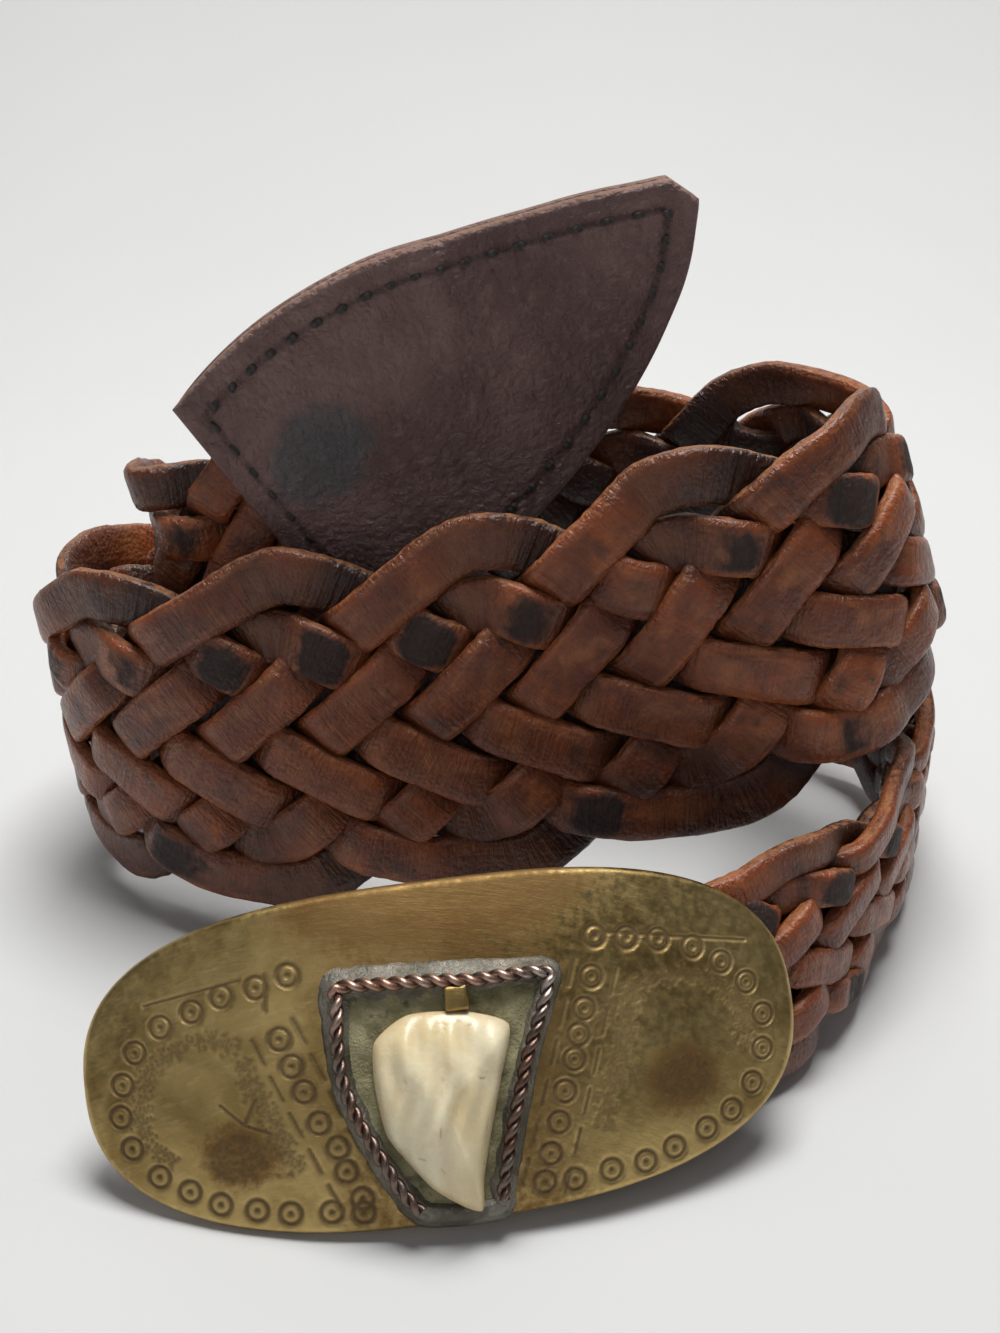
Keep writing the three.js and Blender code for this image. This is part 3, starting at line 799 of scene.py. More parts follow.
def strand_path(strand):
    """Points along one strand in the flat band: place, row and height, at even steps.

    Straight runs from turn to turn, their corners rounded by two running means, and a height
    that eases from one crossing to the next.
    """
    keys = plait_keys(strand) * (PLAIT_PITCH, 1, 1)
    run = run_of(keys[:, :2] * (1, ROW_SPACING))
    fine = np.arange(0, run[-1], FINE_STEP)
    index = np.clip(np.searchsorted(run, fine, side="right") - 1, 0, len(run) - 2)
    share = (fine - run[index]) / (run[index + 1] - run[index])
    share = np.clip((share - 0.5) * 1.6 + 0.5, 0, 1)
    rise = keys[index, 2] + (keys[index + 1, 2] - keys[index, 2]) * eased(share)
    place, row = np.interp(fine, run, keys[:, 0]), np.interp(fine, run, keys[:, 1])
    for width in (CORNER_ROUNDING, CORNER_ROUNDING / 2):
        place, row = box_filter(place, width / FINE_STEP), box_filter(row, width / FINE_STEP)
    rise = box_filter(rise, RISE_ROUNDING / FINE_STEP)
    inside = (place > -6) & (place < BRAID_LENGTH + TIP_BASE + 6)
    first, last = np.flatnonzero(inside)[[0, -1]]
    steps = np.arange(fine[first], fine[last], STRAND_STEP)
    return steps, [np.interp(steps, fine, values) for values in (place, row, rise)]


def near(row, middle, reach):
    """How near a strand's row is to one row: 1 on it, falling away as a bell."""
    return np.exp(-((row - middle) / reach) ** 2)


def burn_marks(strand, steps, place, row, rise):
    """Where a strand is singed: in patches on its second and eighth rows and on its loops."""
    over = np.clip(rise * 1.5, 0, 1)
    top = near(row, 2, 0.5) * over * np.clip(0.8 + 0.5 * waves(place, 5, 4, 120), 0.3, 1)
    low = near(row, 8, 0.55) * over * (waves(steps, 7 + strand) > 0.1)
    loops = near(np.abs(row - MIDDLE_ROW), 5, 0.35) * (waves(steps, 3 + strand, 4, 90) > -0.1)
    return box_filter(np.maximum.reduce([top, 0.8 * low, 0.8 * loops]), 3)


def strand_mesh(strand):
    """One plaited strand, which goes over and under the others.

    A rounded oblong section, crowned and a little ragged at its edges, is carried along the
    strand's path as it lies on the band, and is thinned towards both ends.
    """
    steps, (place, row, rise) = strand_path(strand)
    count = len(steps)
    share = at_band(place, "share")
    ends = np.minimum(place, BRAID_LENGTH + TIP_BASE - place)
    spread = eased(np.clip((ends + 3) / 12, 0, 1))
    thick = STRAND_THICKNESS / 2 * (0.4 + 0.6 * spread) * (1 + 0.05 * waves(steps, 40 + strand))
    lift = rise * STRAND_RISE * spread + 0.18 * waves(steps, 20 + strand, 6, 40) * spread
    side = (MIDDLE_ROW - row) * ROW_SPACING * share + 0.35 * waves(steps, 60 + strand, 6, 46)
    outward = at_band(place, "outward")
    middle = at_band(place, "middle") + at_band(place, "across") * side[:, None]
    middle = middle + outward * lift[:, None]
    along = unit(np.gradient(middle, axis=0))
    sideways = unit(np.cross(outward, along))
    normal = unit(np.cross(along, sideways))
    slope = 2 * ROW_SPACING / PLAIT_PITCH
    half = STRAND_WIDTH / 2 * np.sin(np.arctan(share * slope)) / np.sin(np.arctan(slope))
    half = np.maximum(half, 0.62 * STRAND_WIDTH / 2) * (1 + 0.04 * waves(steps, 80 + strand))
    flat, high = strap_section(STRAND_SIDES, 0.42, 0.5)
    high = high * (1.0 - 0.12 * flat ** 4)
    ragged = np.random.default_rng(100 + strand).normal(0, 0.07, (count, STRAND_SIDES))
    wide = flat * half[:, None] + ragged * np.clip((np.abs(flat) - 0.85) * 7, 0, 1)
    tall = high * thick[:, None]
    points = middle[:, None] + sideways[:, None] * wide[..., None] + normal[:, None] * tall[..., None]
    burn = burn_marks(strand, steps, place, row, rise)
    centre = np.clip(1 - flat ** 2, 0, 1) * (high > 0)
    # painted shade: darker where the strand passes under the others
    recess_shade = np.clip(0.62 - 0.66 * rise, 0, 1) * spread
    round_it = np.tile(half_turned(STRAND_SIDES) / (2 * np.pi), count)
    uv = np.stack([np.repeat(steps / 10, STRAND_SIDES), round_it], axis=1)
    values = {
        "burn": burn[:, None] * (0.45 + 0.55 * centre),
        "centre": np.clip(rise, 0, 1)[:, None] * centre,
        "recess_shade": np.repeat(recess_shade, STRAND_SIDES),
        "edge": np.tile(np.clip((np.abs(flat) - 0.8) * 5, 0, 1), count),
    }
    piece = new_mesh(f"strand_{strand + 1}", points, tube_faces(count, STRAND_SIDES),
                     STRAND_LEATHER, uv, values)
    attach(piece, "root")
    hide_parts("braid")


for number in range(STRANDS):
    strand_mesh(number)


# The tip
def tip_half(share):
    """Half of the tip's width at a share of its length, smooth through the table's rows."""
    place = np.interp(share, TIP_OUTLINE[:, 0], np.arange(len(TIP_OUTLINE)))
    half = through(TIP_OUTLINE, np.atleast_1d(place))[:, 1] * TIP_WIDTH
    width = len(half) // 9 | 1
    bent = np.pad(half, width // 2, mode="reflect", reflect_type="odd")
    return np.convolve(bent, np.ones(width) / width, mode="valid")


def tip_points(length, side, out):
    """Points of the tip from places along it, across it and out of its middle.

    Its middle bows to one side as half a sine, one edge draws in towards the point, and both
    layers bulge over the strands' ends.
    """
    middle, across, outward = tip_frames(length / TIP_LENGTH)
    share = np.clip(length / TIP_LENGTH, 0, 1)
    lift = out + np.sign(out) * TIP_BULGE * np.exp(-((length - TIP_BASE) / 9) ** 2)
    drawn_in = np.where(side < 0, -0.07 * side * share, 0)
    side = side + TIP_BOW * np.sin(np.pi * share ** 0.8) + drawn_in
    return middle + across * side[:, None] + outward * lift[:, None]


def tip_stitch_line():
    """The stitch line round the tip, inset from its edge, as (along, across) points in order."""
    length = np.linspace(TIP_BASE, TIP_LENGTH, 900)
    half = tip_half(length / TIP_LENGTH)
    slope = np.gradient(half, length)
    reach = np.hypot(1, slope)
    edge = np.stack([length + STITCH_INSET * slope / reach, half - STITCH_INSET / reach], axis=1)
    edge = edge[(edge[:, 1] > 0.6) & (edge[:, 0] > TIP_BASE + STITCH_INSET)]
    mirror = edge[::-1] * (1, -1)
    base = np.linspace(mirror[-1], edge[0], 60)
    return np.vstack([edge, mirror, base[1:-1], edge[:1]])


STITCH_LINE = tip_stitch_line()


def line_distance(points, line):
    """The distance of each point to the nearest of a line's close-set points."""
    nearest = np.full(len(points), np.inf)
    for start in range(0, len(line), 100):
        part = line[start:start + 100]
        far = np.hypot(points[:, None, 0] - part[None, :, 0], points[:, None, 1] - part[None, :, 1])
        nearest = np.minimum(nearest, far.min(axis=1))
    return nearest


def border_ring(rows, columns):
    """The places of a grid's outer points, in order round it."""
    count = rows * columns
    return np.r_[np.arange(columns),
                 np.arange(2, rows + 1) * columns - 1,
                 np.arange(count - 2, count - columns - 1, -1),
                 np.arange(rows - 2, 0, -1) * columns]


def tip_layer(name, facing):
    """One leather layer of the tip, with a groove for its stitches.

    A face with a quarter-round edge, waved a little by sines, lies over a plain inner face, and
    a wall joins their rims.
    """
    rows, columns = 190, 70
    steps = 1 - (1 - np.linspace(0, 1, rows)) ** 1.15
    steps = (TIP_BASE + steps * (TIP_LENGTH - TIP_BASE)) / TIP_LENGTH
    inner = np.linspace(-1, 1, columns)
    inner = np.sign(inner) * (1 - (1 - np.abs(inner)) ** 1.3)
    half = tip_half(steps)
    length = np.repeat(steps * TIP_LENGTH, columns)
    side = (half[:, None] * inner[None, :]).ravel()
    near_edge = np.repeat(half, columns) - np.abs(side)
    near_edge = np.minimum.reduce([near_edge, TIP_LENGTH - length, length - TIP_BASE])
    wavy = 0.12 * np.sin(length / 9.1 + side / 13) + 0.1 * np.sin(length / 5.3 - side / 7)
    from_line = line_distance(np.stack([length, side], axis=1), STITCH_LINE)
    groove = np.exp(-(from_line / GROOVE_WIDTH) ** 2)
    drop = np.clip(1 - near_edge / TIP_EDGE, 0, 1)
    round_off = TIP_EDGE * (1 - np.sqrt(1 - drop ** 2 * 0.98))
    top = LAYER_LIFT + TIP_LAYER - round_off - GROOVE_DEPTH * groove
    top = top + wavy * np.clip(near_edge / 4, 0, 1)
    low = 0.12 + round_off * 0.4
    outer = tip_points(length, side, facing * top)
    under = tip_points(length, side, facing * low)
    count = rows * columns
    face = grid_faces(rows, columns)
    ring = border_ring(rows, columns)
    after = np.roll(ring, -1)
    wall = np.stack([ring, after, after + count, ring + count], axis=-1)
    faces = np.vstack([face, face[:, ::-1] + count, wall])[:, ::facing]
    smudge = np.exp(-((length - 24) / 12) ** 2 - ((side - 6) / 9) ** 2) * (facing > 0)
    values = {
        "edge": np.r_[np.clip(1 - near_edge / 1.1, 0, 1), np.full(count, 0.8)],
        "groove": np.r_[groove, np.zeros(count)],
        "smudge": np.r_[smudge, np.zeros(count)],
    }
    piece = new_mesh(name, np.vstack([outer, under]), faces, TIP_LEATHER, None, values)
    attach(piece, "root")
    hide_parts("tip_front" if facing > 0 else "tip_back")


def tip_stitches(name, facing):
    """The thread seen on one face: short plump stitches lying a little slantwise in the groove.

    Each is a round thread that sinks at both ends, as the fourth power of the way to its end.
    """
    run = run_of(STITCH_LINE)
    number = int(round(run[-1] / STITCH_PITCH))
    rng = np.random.default_rng(11)
    rows, columns = 9, 10
    t = np.linspace(-1, 1, rows)[:, None]
    turn = np.arange(columns) * 2 * np.pi / columns
    thick = 0.5 * (1 - np.abs(t) ** 5) + 0.12
    out = LAYER_LIFT + TIP_LAYER - 0.2 - 0.5 * np.abs(t) ** 4 + np.sin(turn) * thick * 0.85
    points, faces = [], []
    for at in (np.arange(number) + 0.5) * run[-1] / number:
        centre, ahead = at_run([at, (at + 0.4) % run[-1]], run, STITCH_LINE)
        if np.hypot(*(ahead - centre)) > 2:
            continue
        slant = np.radians(9 + rng.uniform(-4, 4)) * facing
        angle = np.arctan2(*(ahead - centre)[::-1]) + slant
        way = np.array([np.cos(angle), np.sin(angle)])
        long = STITCH_HALF + rng.uniform(-0.15, 0.15)
        flat = centre + t[..., None] * long * way
        flat = (flat + (np.cos(turn) * thick)[..., None] * aside_of(way)).reshape(-1, 2)
        length = np.clip(flat[:, 0], 0, TIP_LENGTH)
        faces.append(tube_faces(rows, columns)[:, ::facing] + len(points) * rows * columns)
        points.append(tip_points(length, flat[:, 1], facing * out.ravel()))
    piece = new_mesh(name, np.vstack(points), np.vstack(faces), THREAD)
    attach(piece, "root")


tip_layer("tip_front_leather", 1)
tip_layer("tip_back_leather", -1)
tip_stitches("tip_front_stitches", 1)
tip_stitches("tip_back_stitches", -1)


# The buckle
def plate_face(x, y):
    """Height of the plate's face, bowed along it and crowned across it, its crest at nought."""
    return -PLATE_BOW * (2 * x / BUCKLE_LENGTH) ** 2 - PLATE_CROWN * (2 * y / BUCKLE_HEIGHT) ** 2


def on_face(place, height):
    """Points over flat places on the plate, at a height above its face."""
    return np.column_stack([place, plate_face(*place.T) + height])


def closed_line(table, count):
    """A closed curve of even steps through a table of shares of the plate's size."""
    stops = table * (BUCKLE_LENGTH / 2, BUCKLE_HEIGHT / 2)
    slope = 0.35 * (np.roll(stops, -1, axis=0) - np.roll(stops, 1, axis=0))
    t = np.linspace(0, 1, 60, endpoint=False)[:, None]
    fine = np.vstack([between(t, stops[i - 1], slope[i - 1], stops[i], slope[i])
                      for i in [*range(1, len(stops)), 0]])
    fine = np.vstack([fine, fine[:1]])
    run = run_of(fine)
    even = np.linspace(0, run[-1], count, endpoint=False)
    return at_run(even, run, fine), run[-1]


def line_asides(line):
    """The directions straight out to the side of a closed line, at each of its points."""
    return aside_of(unit(np.roll(line, -1, axis=0) - np.roll(line, 1, axis=0)))


def buckle_piece(name, points, faces, material, values=None, node_name="buckle_plate"):
    """A piece from points in the buckle's own frame, standing for a node of the buckle."""
    piece = new_mesh(name, on_buckle(points), faces, material, None, values)
    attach(piece, "root")
    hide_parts(node_name)


def brass_piece(name, sections, patina):
    """A closed brass piece from sections in order along it, with no dents and one patina."""
    count = len(sections) * len(sections[0])
    values = {"dent": np.zeros(count), "patina": np.full(count, patina)}
    buckle_piece(name, np.vstack(sections), tube_faces(len(sections), len(sections[0])), BRASS,
                 values)


def stamp_places():
    """Centres of the ring-and-dot stamps: a border round each end panel and a slanted column."""
    places = []
    angle = np.roll(np.linspace(0, 2 * np.pi, 4000), -2000)
    line = np.stack([squared(np.cos(angle), END_ROUNDING), squared(np.sin(angle), SIDE_ROUNDING)],
                    axis=1)
    line = line * (np.array([BUCKLE_LENGTH, BUCKLE_HEIGHT]) / 2 - BORDER_INSET) + (0, BORDER_MIDDLE)
    for sign, high, low in ((-1, 18.5, 12), (1, 20.5, 14.5)):
        side = line[np.where(line[:, 1] > BORDER_MIDDLE, line[:, 0] > high, line[:, 0] > low)]
        run = run_of(side)
        places.extend(at_run(np.arange(0.6, run[-1], STAMP_SPACING), run, side) * (sign, 1))
    for column, stamps in ((LEFT_COLUMN, 7), (RIGHT_COLUMN, 8)):
        places.extend(np.linspace(*column, stamps))
    rng = np.random.default_rng(4)
    return np.array(places) + rng.normal(0, 0.22, (len(places), 2))


def scored_lines():
    """Ends of the scored lines: dashes beside the columns, a V of strokes and the long ones."""
    lines = []
    for column, offset in ((LEFT_COLUMN, 3.0), (RIGHT_COLUMN, 2.9)):
        whole = np.linalg.norm(column[1] - column[0])
        way = (column[1] - column[0]) / whole
        for side in (-offset, offset):
            for at in np.arange(-1.5, whole, SCORE_SPACING):
                start = column[0] + way * at + aside_of(way) * side
                lines.append((start, start + way * SCORE_LENGTH))
    for start, end in (((-29.6, -3.4), (-26.8, -6.2)), ((-24.9, -3.0), (-26.8, -6.2)),
                       ((-26.8, -6.2), (-23.4, -7.6)), ((-38.5, 10.2), (-25.5, 12.2)),
                       ((-22.5, 8.0), (-22.1, 12.6)), ((22.4, 12.4), (42.0, 8.4))):
        lines.append((np.array(start), np.array(end)))
    return lines


def stipple_places():
    """Small punched dots: an arc inside each border, a row up each column's side and a patch."""
    rng = np.random.default_rng(9)
    places = []
    for centre, radii, low, high in (((-31, -3.5), (9.5, 8.5), 60, 235),
                                     ((30, -3.0), (10.5, 8.5), -20, 165)):
        angle = np.radians(rng.uniform(low, high, 330))
        reach = (1 + rng.normal(0, 0.07, 330))[:, None]
        places.append(centre + radii * reach * np.stack([np.cos(angle), np.sin(angle)], axis=1))
    for column, side in ((LEFT_COLUMN, -5.6), (RIGHT_COLUMN, 5.8)):
        aside = aside_of(unit(column[1] - column[0]))
        share = rng.uniform(0.0, 0.7, 260)[:, None]
        offset = side + rng.normal(0, 0.8, 260)[:, None]
        places.append(column[0] * (1 - share) + column[1] * share + aside * offset)
    for centre, radius in (((-28, -10.5), 3.2), ((31, -8.0), 3.0)):
        angle, reach = rng.uniform(0, 2 * np.pi, 170), radius * np.sqrt(rng.uniform(0, 1, 170))
        places.append(centre + np.stack([1.2 * reach * np.cos(angle), reach * np.sin(angle)],
                                        axis=1))
    return np.vstack(places)


def engraving(x, y):
    """Depth of what is cut into the plate's face: bell-shaped grooves, rings, dots and dents."""
    depth = np.zeros_like(x)
    for place in stamp_places():
        close = np.flatnonzero((np.abs(x - place[0]) < 3) & (np.abs(y - place[1]) < 3))
        reach = np.hypot(x[close] - place[0], y[close] - place[1])
        mark = STAMP_DEPTH * near(reach, STAMP_RADIUS, 0.3) + DOT_DEPTH * near(reach, 0, 0.42)
        depth[close] = np.maximum(depth[close], mark)
    for start, end in scored_lines():
        way = end - start
        t = np.clip(((x - start[0]) * way[0] + (y - start[1]) * way[1]) / (way @ way), 0, 1)
        reach = np.hypot(x - start[0] - t * way[0], y - start[1] - t * way[1])
        depth = np.maximum(depth, SCORE_DEPTH * near(reach, 0, 0.26))
    for place in stipple_places():
        close = np.flatnonzero((np.abs(x - place[0]) < 0.9) & (np.abs(y - place[1]) < 0.9))
        reach = np.hypot(x[close] - place[0], y[close] - place[1])
        depth[close] = np.maximum(depth[close], STIPPLE_DEPTH * near(reach, 0, 0.3))
    return depth


def plate_patina(x, y):
    """Where the brass has gone brown: in both end panels, round the cell and along its top."""
    patina = near(x, -28, 6) * near(y, -10, 5) + near(x, 31, 6) * near(y, -8, 5.5)
    patina = patina + 0.55 * np.exp(-((x - 1) / 21) ** 4) + 0.3 * near(y, 19, 4)
    return np.clip(patina, 0, 1)


def plate():
    """The plate: sections across it, round its engraved face and its plain back.

    Its outline is an oblong with full round ends. The sections lie closest where the face is
    engraved, and close to a point at each end. The face is the bowed one less its rounded edge,
    the engraving and a slight wear of sines.
    """
    first = np.arcsin(2 * ENGRAVED_FROM / BUCKLE_LENGTH)
    outer = BUCKLE_LENGTH / 2 * np.sin(np.linspace(first, np.pi / 2, 235))
    inner = np.linspace(-outer[0], outer[0], 44)[1:-1]
    line = np.r_[-outer[::-1], inner, outer]
    full = np.clip(1 - np.abs(2 * line / BUCKLE_LENGTH) ** (2 / END_ROUNDING), 0, 1)
    half = BUCKLE_HEIGHT / 2 * full ** 0.4
    x = np.repeat(line, PLATE_ROWS)
    y = (half[:, None] * np.linspace(-1, 1, PLATE_ROWS)).ravel()
    reach = (np.abs(2 * x / BUCKLE_LENGTH) ** (2 / END_ROUNDING)
             + np.abs(2 * y / BUCKLE_HEIGHT) ** 2.5) ** 0.385
    inside = (1 - reach) * np.hypot(x, y) / np.maximum(reach, 0.05)
    inside = np.clip(inside / PLATE_EDGE, 0, 1)
    depth = engraving(x, y) * inside
    round_off = PLATE_ROUNDING * (1 - np.sqrt(1 - (1 - inside) ** 2 * 0.99))
    worn = 0.07 * np.sin(x / 3.1 + y / 4.3) * np.sin(y / 2.7 - x / 6.1)
    z = plate_face(x, y) - round_off - depth + worn * inside
    across = np.array([0.999, 0.985, 0.8, 0.4, 0, -0.4, -0.8, -0.985, -0.999])
    drop = PLATE_THICKNESS * np.where(np.abs(across) < 0.99, 1, 1.5 / 1.8)
    back_y = half[:, None] * across
    back_x = np.repeat(line[:, None], len(across), axis=1)
    front = np.stack([x, y, z], axis=-1).reshape(len(line), PLATE_ROWS, 3)
    back = np.stack([back_x, back_y, plate_face(back_x, back_y) - drop], axis=-1)
    points = np.concatenate([front, back], axis=1)
    blank = np.zeros((len(line), len(across)))
    values = {"dent": np.c_[np.clip(depth / 0.2, 0, 1).reshape(len(line), -1), blank],
              "patina": np.c_[plate_patina(x, y).reshape(len(line), -1), blank + 0.35]}
    faces = grid_faces(len(line), points.shape[1], closed_columns=True)
    buckle_piece("plate", points.reshape(-1, 3), faces, BRASS, values)


def wire_mesh(name, line, height, recess_shade, columns=8):
    """A round wire along a line on the plate, at its own height above the bowed face."""
    aside = aside_of(unit(np.gradient(line, axis=0)))
    turn = np.arange(columns) * 2 * np.pi / columns
    flat = line[:, None] + aside[:, None] * (np.cos(turn) * WIRE_RADIUS)[:, None]
    z = (plate_face(*line.T) + height)[:, None] + np.sin(turn) * WIRE_RADIUS
    points = np.concatenate([flat, z[..., None]], axis=-1).reshape(-1, 3)
    buckle_piece(name, points, tube_faces(len(line), columns), WIRE,
                 {"recess_shade": np.repeat(recess_shade, columns)})


def rope():
    """Two thin wires twisted round one another along the cell's line, open at its foot."""
    count = 1500
    line, whole = closed_line(CELL_OUTLINE, count)
    aside = line_asides(line)
    at = np.arange(count) / count
    sway = 0.2 * waves(at * whole, 31, 5, 34)
    order = np.roll(np.arange(count), -int(np.argmin(line[:, 1])))
    order = order[line[order, 1] > -0.89 * BUCKLE_HEIGHT / 2]
    # the rope is darker everywhere below the cell's top run
    darker_below_top = np.clip((6.5 - line[:, 1]) / 3, 0, 0.8)
    for k in range(2):
        angle = (2 * ROPE_TURNS * at + k) * np.pi
        wire = line + aside * (np.cos(angle) * WIRE_SWING + sway)[:, None]
        height = ROPE_HEIGHT + np.sin(angle) * WIRE_SWING + 0.15 * waves(at * whole, 3)
        # painted shade: darker where each wire dips under the other
        recess_shade = np.maximum(np.clip(0.55 - 0.6 * np.sin(angle), 0, 1), darker_below_top)
        wire_mesh(f"rope_wire_{k + 1}", wire[order], height[order], recess_shade[order])


def solder_bed():
    """The wall of solder under the rope, with a lumpy fillet run out onto the plate.

    A low domed profile is carried round the cell, its feet spilling out by waves.
    """
    count = 420
    line, whole = closed_line(CELL_OUTLINE, count)
    aside = line_asides(line)
    spill = 0.5 * waves(np.arange(count) / count * whole, 12, 7, 38) + 0.1
    spill = spill + 1.5 * np.clip((line[:, 1] - 6) / 2, 0, 1) * np.clip((9 - line[:, 0]) / 5, 0, 1)
    spill = np.clip(spill, -0.6, 2.2)
    half = ROPE_WIDTH / 2 - 0.15
    profile = [(-half - 0.9, -0.1, 1), (-half - 0.5, 0.25, 0.6), (-half, 0.75, 0),
               (-0.85, 1.2, 0), (-0.4, 1.35, 0), (0.4, 1.35, 0), (0.85, 1.2, 0),
               (half, 0.75, 0), (half + 0.5, 0.25, 0.6), (half + 0.9, -0.1, 1)]
    points = []
    rng = np.random.default_rng(6)
    for out, up, run_out in profile:
        reach = out + np.sign(out) * run_out * (1 if out < 0 else 0.3) * spill
        lump = rng.normal(0, 0.06, count)
        lump = np.convolve(np.r_[lump[-2:], lump, lump[:2]], np.ones(5) / 5, mode="valid")
        points.append(on_face(line + aside * reach[:, None], up + lump * 1.6))
    points = np.stack(points, axis=1).reshape(-1, 3)
    buckle_piece("solder_wall", points, grid_faces(count, len(profile), True, True), SOLDER)


def cell_floor():
    """The olive-grey cement that fills the cell: rings from its middle out, in low ripples."""
    count = 120
    line, _ = closed_line(CELL_OUTLINE, count)
    middle = line.mean(axis=0)
    rng = np.random.default_rng(8)
    points = []
    for share in (0.02, *np.linspace(0.1, 1.0, 16)):
        place = middle + (line - middle) * share
        rise = 0.45 + 0.25 * np.sin(place[:, 0] * 1.3) * np.cos(place[:, 1] * 1.1)
        points.append(on_face(place, rise + rng.normal(0, 0.03, count)))
    for share in (1.0, 0.02):
        points.append(on_face(middle + (line - middle) * share, -0.3))
    buckle_piece("cell_cement", np.vstack(points), tube_faces(len(points), count), CEMENT)


def prong():
    """The small brass tongue bent in over the tooth's root from the wall, as half a sine."""
    wall = CELL_OUTLINE[2, 1] * BUCKLE_HEIGHT / 2 - 0.7
    flat, high = strap_section(24, 0.35, 0.5)
    sections = []
    for t in np.linspace(0, 1, 14):
        y = wall - t * PRONG_LENGTH
        end = t in (0, 1)
        x = PRONG_PLACE + flat * PRONG_WIDTH / 2 * 0.86 * (0.9 if end else 1)
        up = 1.75 + 0.25 * np.sin(t * np.pi) - 0.15 * t + high * 0.55 * (0.75 if end else 1)
        z = plate_face(PRONG_PLACE, y) + up
        sections.append(np.column_stack([x, np.full(len(x), y), z]))
    brass_piece("prong", sections, 0)


def tooth():
    """The tooth: rings from its crest to its rim, a dome with long waves from root to point."""
    count = 220
    line, _ = closed_line(TOOTH_OUTLINE, count)
    middle = line.mean(axis=0)
    points, recess_shade = [], []
    for share in np.maximum(np.sin(np.linspace(0.0, 1.0, 70) * np.pi / 2), 0.01):
        place = middle + (line - middle) * share
        x, y = place.T
        dome = TOOTH_RISE * np.sqrt(np.maximum(1.04 - share ** 2, 0)) / 1.02
        wave = np.sin(1.15 * x + 2.2 * np.sin(y / 4.6) + 0.6) * 0.32
        wave = wave + 0.22 * np.sin(x * 2.1 - y * 0.55 + np.sin(y / 2.3))
        wave = wave - 0.55 * near(x, 0.5 - 0.2 * y, 1.4) * np.clip((y + 18) / 26, 0, 1)
        points.append(on_face(place, GAP + 0.25 + dome + wave * (1 - share ** 6)))
        # painted shade and stain: darker in the wave troughs and round the rim
        recess_shade.append(np.clip(-wave * 1.3, 0, 1) * 0.3 + np.clip((share - 0.9) * 8, 0, 1) * 0.7)
    points.append(on_face(line, GAP))
    foot = on_face(middle[None], GAP)[0, 2]
    points.append(np.column_stack([middle + (line - middle) * 0.02, np.full(count, foot)]))
    recess_shade.append(np.ones(2 * count))
    buckle_piece("tooth_carved", np.vstack(points), tube_faces(len(points), count), TOOTH,
                 {"recess_shade": np.concatenate(recess_shade)}, "tooth")


def fold_bend():
    """Where the strap's end bends round the bar: its place along the plate and its radius."""
    return STRAP_PLACE - GAP, BRAID_THICKNESS / 2 + FOLD_ROOM + GAP


def quarter_round():
    """Angles round a bent wire's corner."""
    return np.linspace(0, np.pi / 2, 12)


def bar():
    """The brass loop soldered to the plate's back, which the strap's end is bent round.

    A round section carried along three straight runs with rounded corners, a little thicker
    where it is soldered.
    """
    bend, radius = fold_bend()
    x = bend - radius + BAR_DIAMETER / 2 + GAP
    low, high = STRAP_RISE - BAR_SPAN / 2, STRAP_RISE + BAR_SPAN / 2
    lift = SOLDER_DEPTH - PLATE_THICKNESS
    drop = BAR_CORNER * (1 - np.sin(quarter_round())) - STRAP_DEPTH
    turned = BAR_CORNER * (1 - np.cos(quarter_round()))
    path = np.vstack([(low, plate_face(x, low) + lift),
                      np.column_stack([low + turned, drop]),
                      np.column_stack([high - turned, drop])[::-1],
                      (high, plate_face(x, high) + lift)])
    path, even = evened(path, 90)
    way = unit(np.gradient(path, axis=0))
    turn = np.arange(18) * 2 * np.pi / 18
    thick = BAR_DIAMETER / 2 * (1 + 0.1 * near(np.minimum(even, even[-1] - even), 0, 1.6))
    sections = []
    for place, (dy, dz), r in zip(path, way, thick):
        sections.append(np.stack([x + np.cos(turn) * r, place[0] + dz * np.sin(turn) * r,
                                  place[1] - dy * np.sin(turn) * r], axis=1))
    brass_piece("bar", sections, 0.3)


def hook():
    """The flat brass hook on the plate's back, which goes through the plait when it is worn.

    A flat section carried straight out and round one corner, narrowing to its end.
    """
    x0 = HOOK_PLACE * BUCKLE_LENGTH / 2
    low = plate_face(x0, 0) - PLATE_THICKNESS
    corner = low - HOOK_REACH + HOOK_CORNER
    bent = np.column_stack([x0 - HOOK_CORNER * (1 - np.cos(quarter_round())),
                            corner - HOOK_CORNER * np.sin(quarter_round())])
    path = np.vstack([(x0, low + SOLDER_DEPTH), (x0, corner), bent,
                      (x0 - HOOK_REACH, low - HOOK_REACH)])
    path, even = evened(path, 60)
    way = unit(np.gradient(path, axis=0))
    flat, high = strap_section(28, 0.25, 0.5)
    sections = []
    for place, (dx, dz), left in zip(path, way, even[-1] - even):
        wide = HOOK_WIDTH / 2 * np.clip(left / 3 + 0.25, 0, 1) ** 0.5
        sections.append(np.stack([place[0] - dz * high * 0.9, flat * wide,
                                  place[1] + dx * high * 0.9], axis=1))
    brass_piece("hook", sections, 0.3)


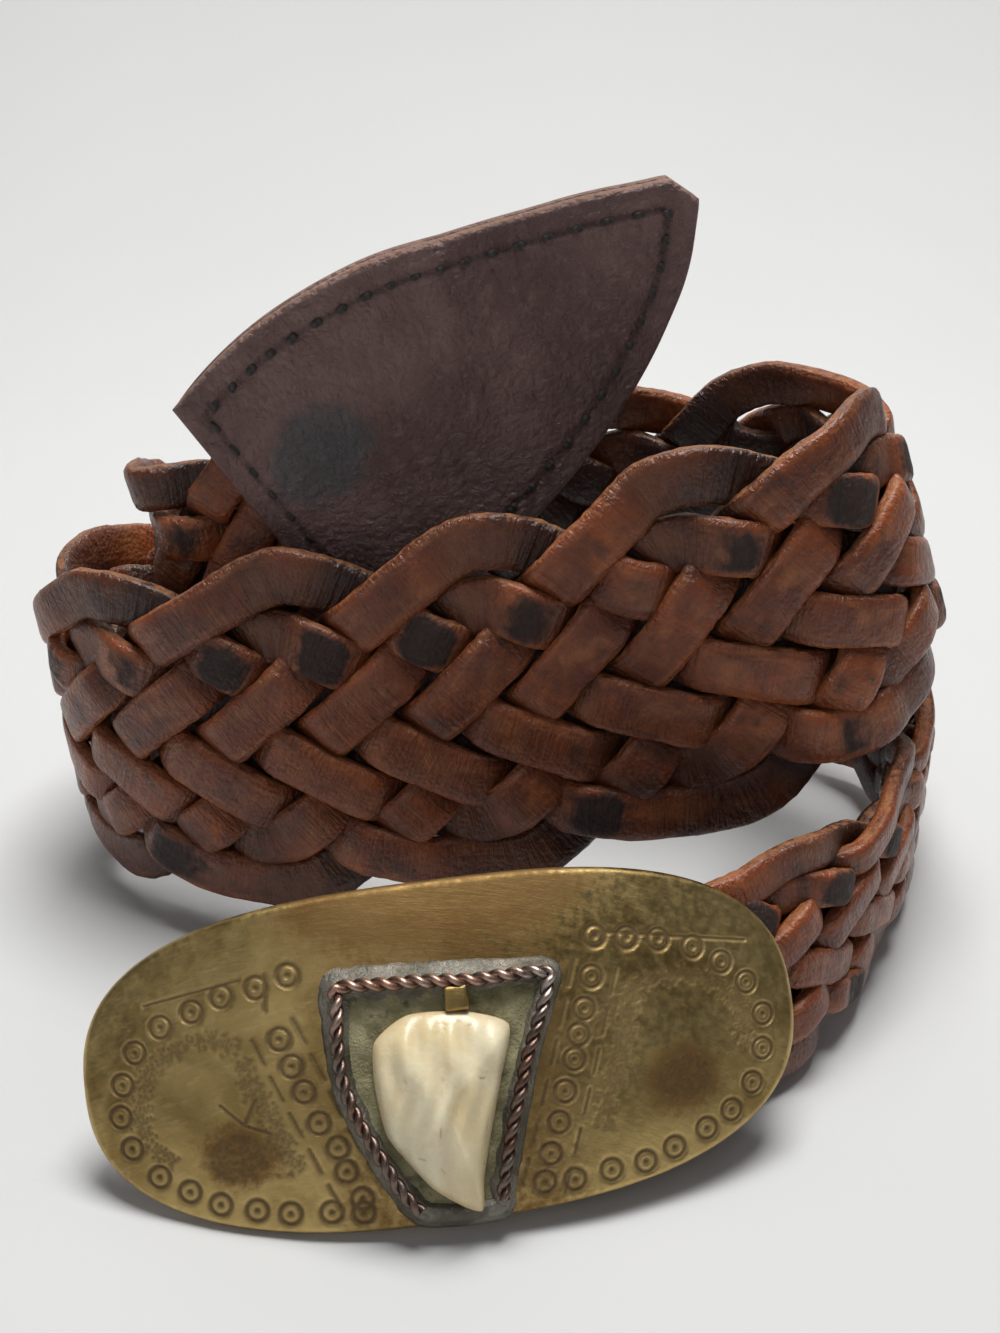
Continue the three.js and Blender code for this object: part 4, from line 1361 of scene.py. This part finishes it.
def fold():
    """The leather fold round the bar, holding the plait's first ends.

    A flat section carried along one flap, half round the bar and back along the other flap.
    """
    bend, inner = fold_bend()
    flap = np.linspace(FOLD_LENGTH, 0, 14, endpoint=False)
    turn = np.linspace(np.pi / 2, 3 * np.pi / 2, 40)
    path = [(bend + t, 0.0, 1.0) for t in flap]
    path += [(bend, np.cos(a), np.sin(a)) for a in turn]
    path += [(bend + t, 0.0, -1.0) for t in flap[::-1]]
    columns = 36
    flat, high = strap_section(columns, 0.16, 0.7)
    points = []
    for k, (x, dx, dz) in enumerate(path):
        shrink = 1 - 0.35 * near(min(k, len(path) - 1 - k), 0, 0.7)
        reach = inner + FOLD_THICKNESS / 2 * (1 + high * shrink)
        points.append(np.stack([x + dx * reach, STRAP_RISE + flat * FOLD_WIDTH / 2,
                                -STRAP_DEPTH + dz * reach], axis=1))
    blank = np.zeros(len(path) * columns)
    edge = np.tile(np.clip((np.abs(flat) - 0.93) * 14, 0, 1), len(path))
    buckle_piece("fold_leather", np.vstack(points), tube_faces(len(path), columns)[:, ::-1],
                 TIP_LEATHER, {"edge": edge, "groove": blank, "smudge": blank},
                 "buckle_fold")


def fold_stitches():
    """Two short rows of stitches across the fold's flaps, seen on both of their faces.

    Each is a round thread that sinks at both ends, as the fourth power of the way to its end.
    """
    bend, inner = fold_bend()
    rows, columns = 9, 10
    turn = np.arange(columns) * 2 * np.pi / columns
    t = np.linspace(-1, 1, rows)[:, None]
    thick = 0.48 * (1 - np.abs(t) ** 5) + 0.1
    z = inner + FOLD_THICKNESS - 0.05 - 0.5 * np.abs(t) ** 4 + np.sin(turn) * thick
    points, faces = [], []
    for facing in (-1, 1):
        for at in (FOLD_LENGTH - 2.6, FOLD_LENGTH - 7.0):
            x = bend + at + np.cos(turn) * thick + 0.12 * t
            for y in np.arange(-FOLD_WIDTH / 2 + 3, FOLD_WIDTH / 2 - 2, 4.1):
                y_all = np.repeat(STRAP_RISE + y + 1.6 * t, columns, axis=1)
                stitch = np.stack([x, y_all, -STRAP_DEPTH + facing * z], axis=-1)
                faces.append(tube_faces(rows, columns)[:, ::-facing] + len(points) * rows * columns)
                points.append(stitch.reshape(-1, 3))
    piece = new_mesh("fold_stitches", on_buckle(np.vstack(points)), np.vstack(faces), THREAD)
    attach(piece, "root")


plate()
cell_floor()
solder_bed()
rope()
prong()
tooth()
bar()
hook()
fold()
fold_stitches()


# The stage and the camera
def stage():
    """Pale paper swept up behind the belt, a broad soft light above and a weak one in front."""
    bend = np.linspace(0, np.pi / 2, 25)
    profile = np.vstack([[(-900, 0), (-300, 0), (260, 0)],
                         np.column_stack([260 + 220 * np.sin(bend), 220 - 220 * np.cos(bend)]),
                         [(480, 900)]])
    wide = np.linspace(-1400, 1400, 9)
    points = np.array([(x, y, z) for y, z in profile for x in wide]) + ROUTE_MIDDLE
    paper = new_mesh("paper", points, grid_faces(len(profile), len(wide))[:, ::-1], PAPER)
    for name, place, target, size, power in (
            ("overhead", (0.05, 0.12, 0.9), (0, 0, 0.03), 0.42, 9.6),
            ("front_fill", (-0.35, -0.9, 0.55), (0, 0, 0.04), 0.8, 1.0)):
        light = bpy.data.objects.new(name, bpy.data.lights.new(name, "AREA"))
        light.data.energy = power
        light.data.size = size
        light.location = place
        light.rotation_euler = (Vector(target) - Vector(place)).to_track_quat("-Z", "Y").to_euler()
        bpy.context.collection.objects.link(light)
    world = bpy.data.worlds.new("room")
    world.use_nodes = True
    background = world.node_tree.nodes["Background"]
    background.inputs["Color"].default_value = (0.9, 0.93, 1.0, 1.0)
    background.inputs["Strength"].default_value = 0.13
    bpy.context.scene.world = world
    bpy.context.scene.view_settings.view_transform = "Standard"


def camera():
    """The photograph's camera: in front, a little above, looking 28 degrees down."""
    lens = bpy.data.cameras.new("camera")
    lens.sensor_fit = "VERTICAL"
    lens.sensor_height = 36
    lens.lens = 45.9
    lens.clip_start = 0.01
    seen = bpy.data.objects.new("camera", lens)
    seen.location = (0.00081, -0.2314, 0.16884)
    seen.rotation_euler = (np.radians(62), 0, 0)
    bpy.context.collection.objects.link(seen)
    bpy.context.scene.camera = seen


stage()
camera()
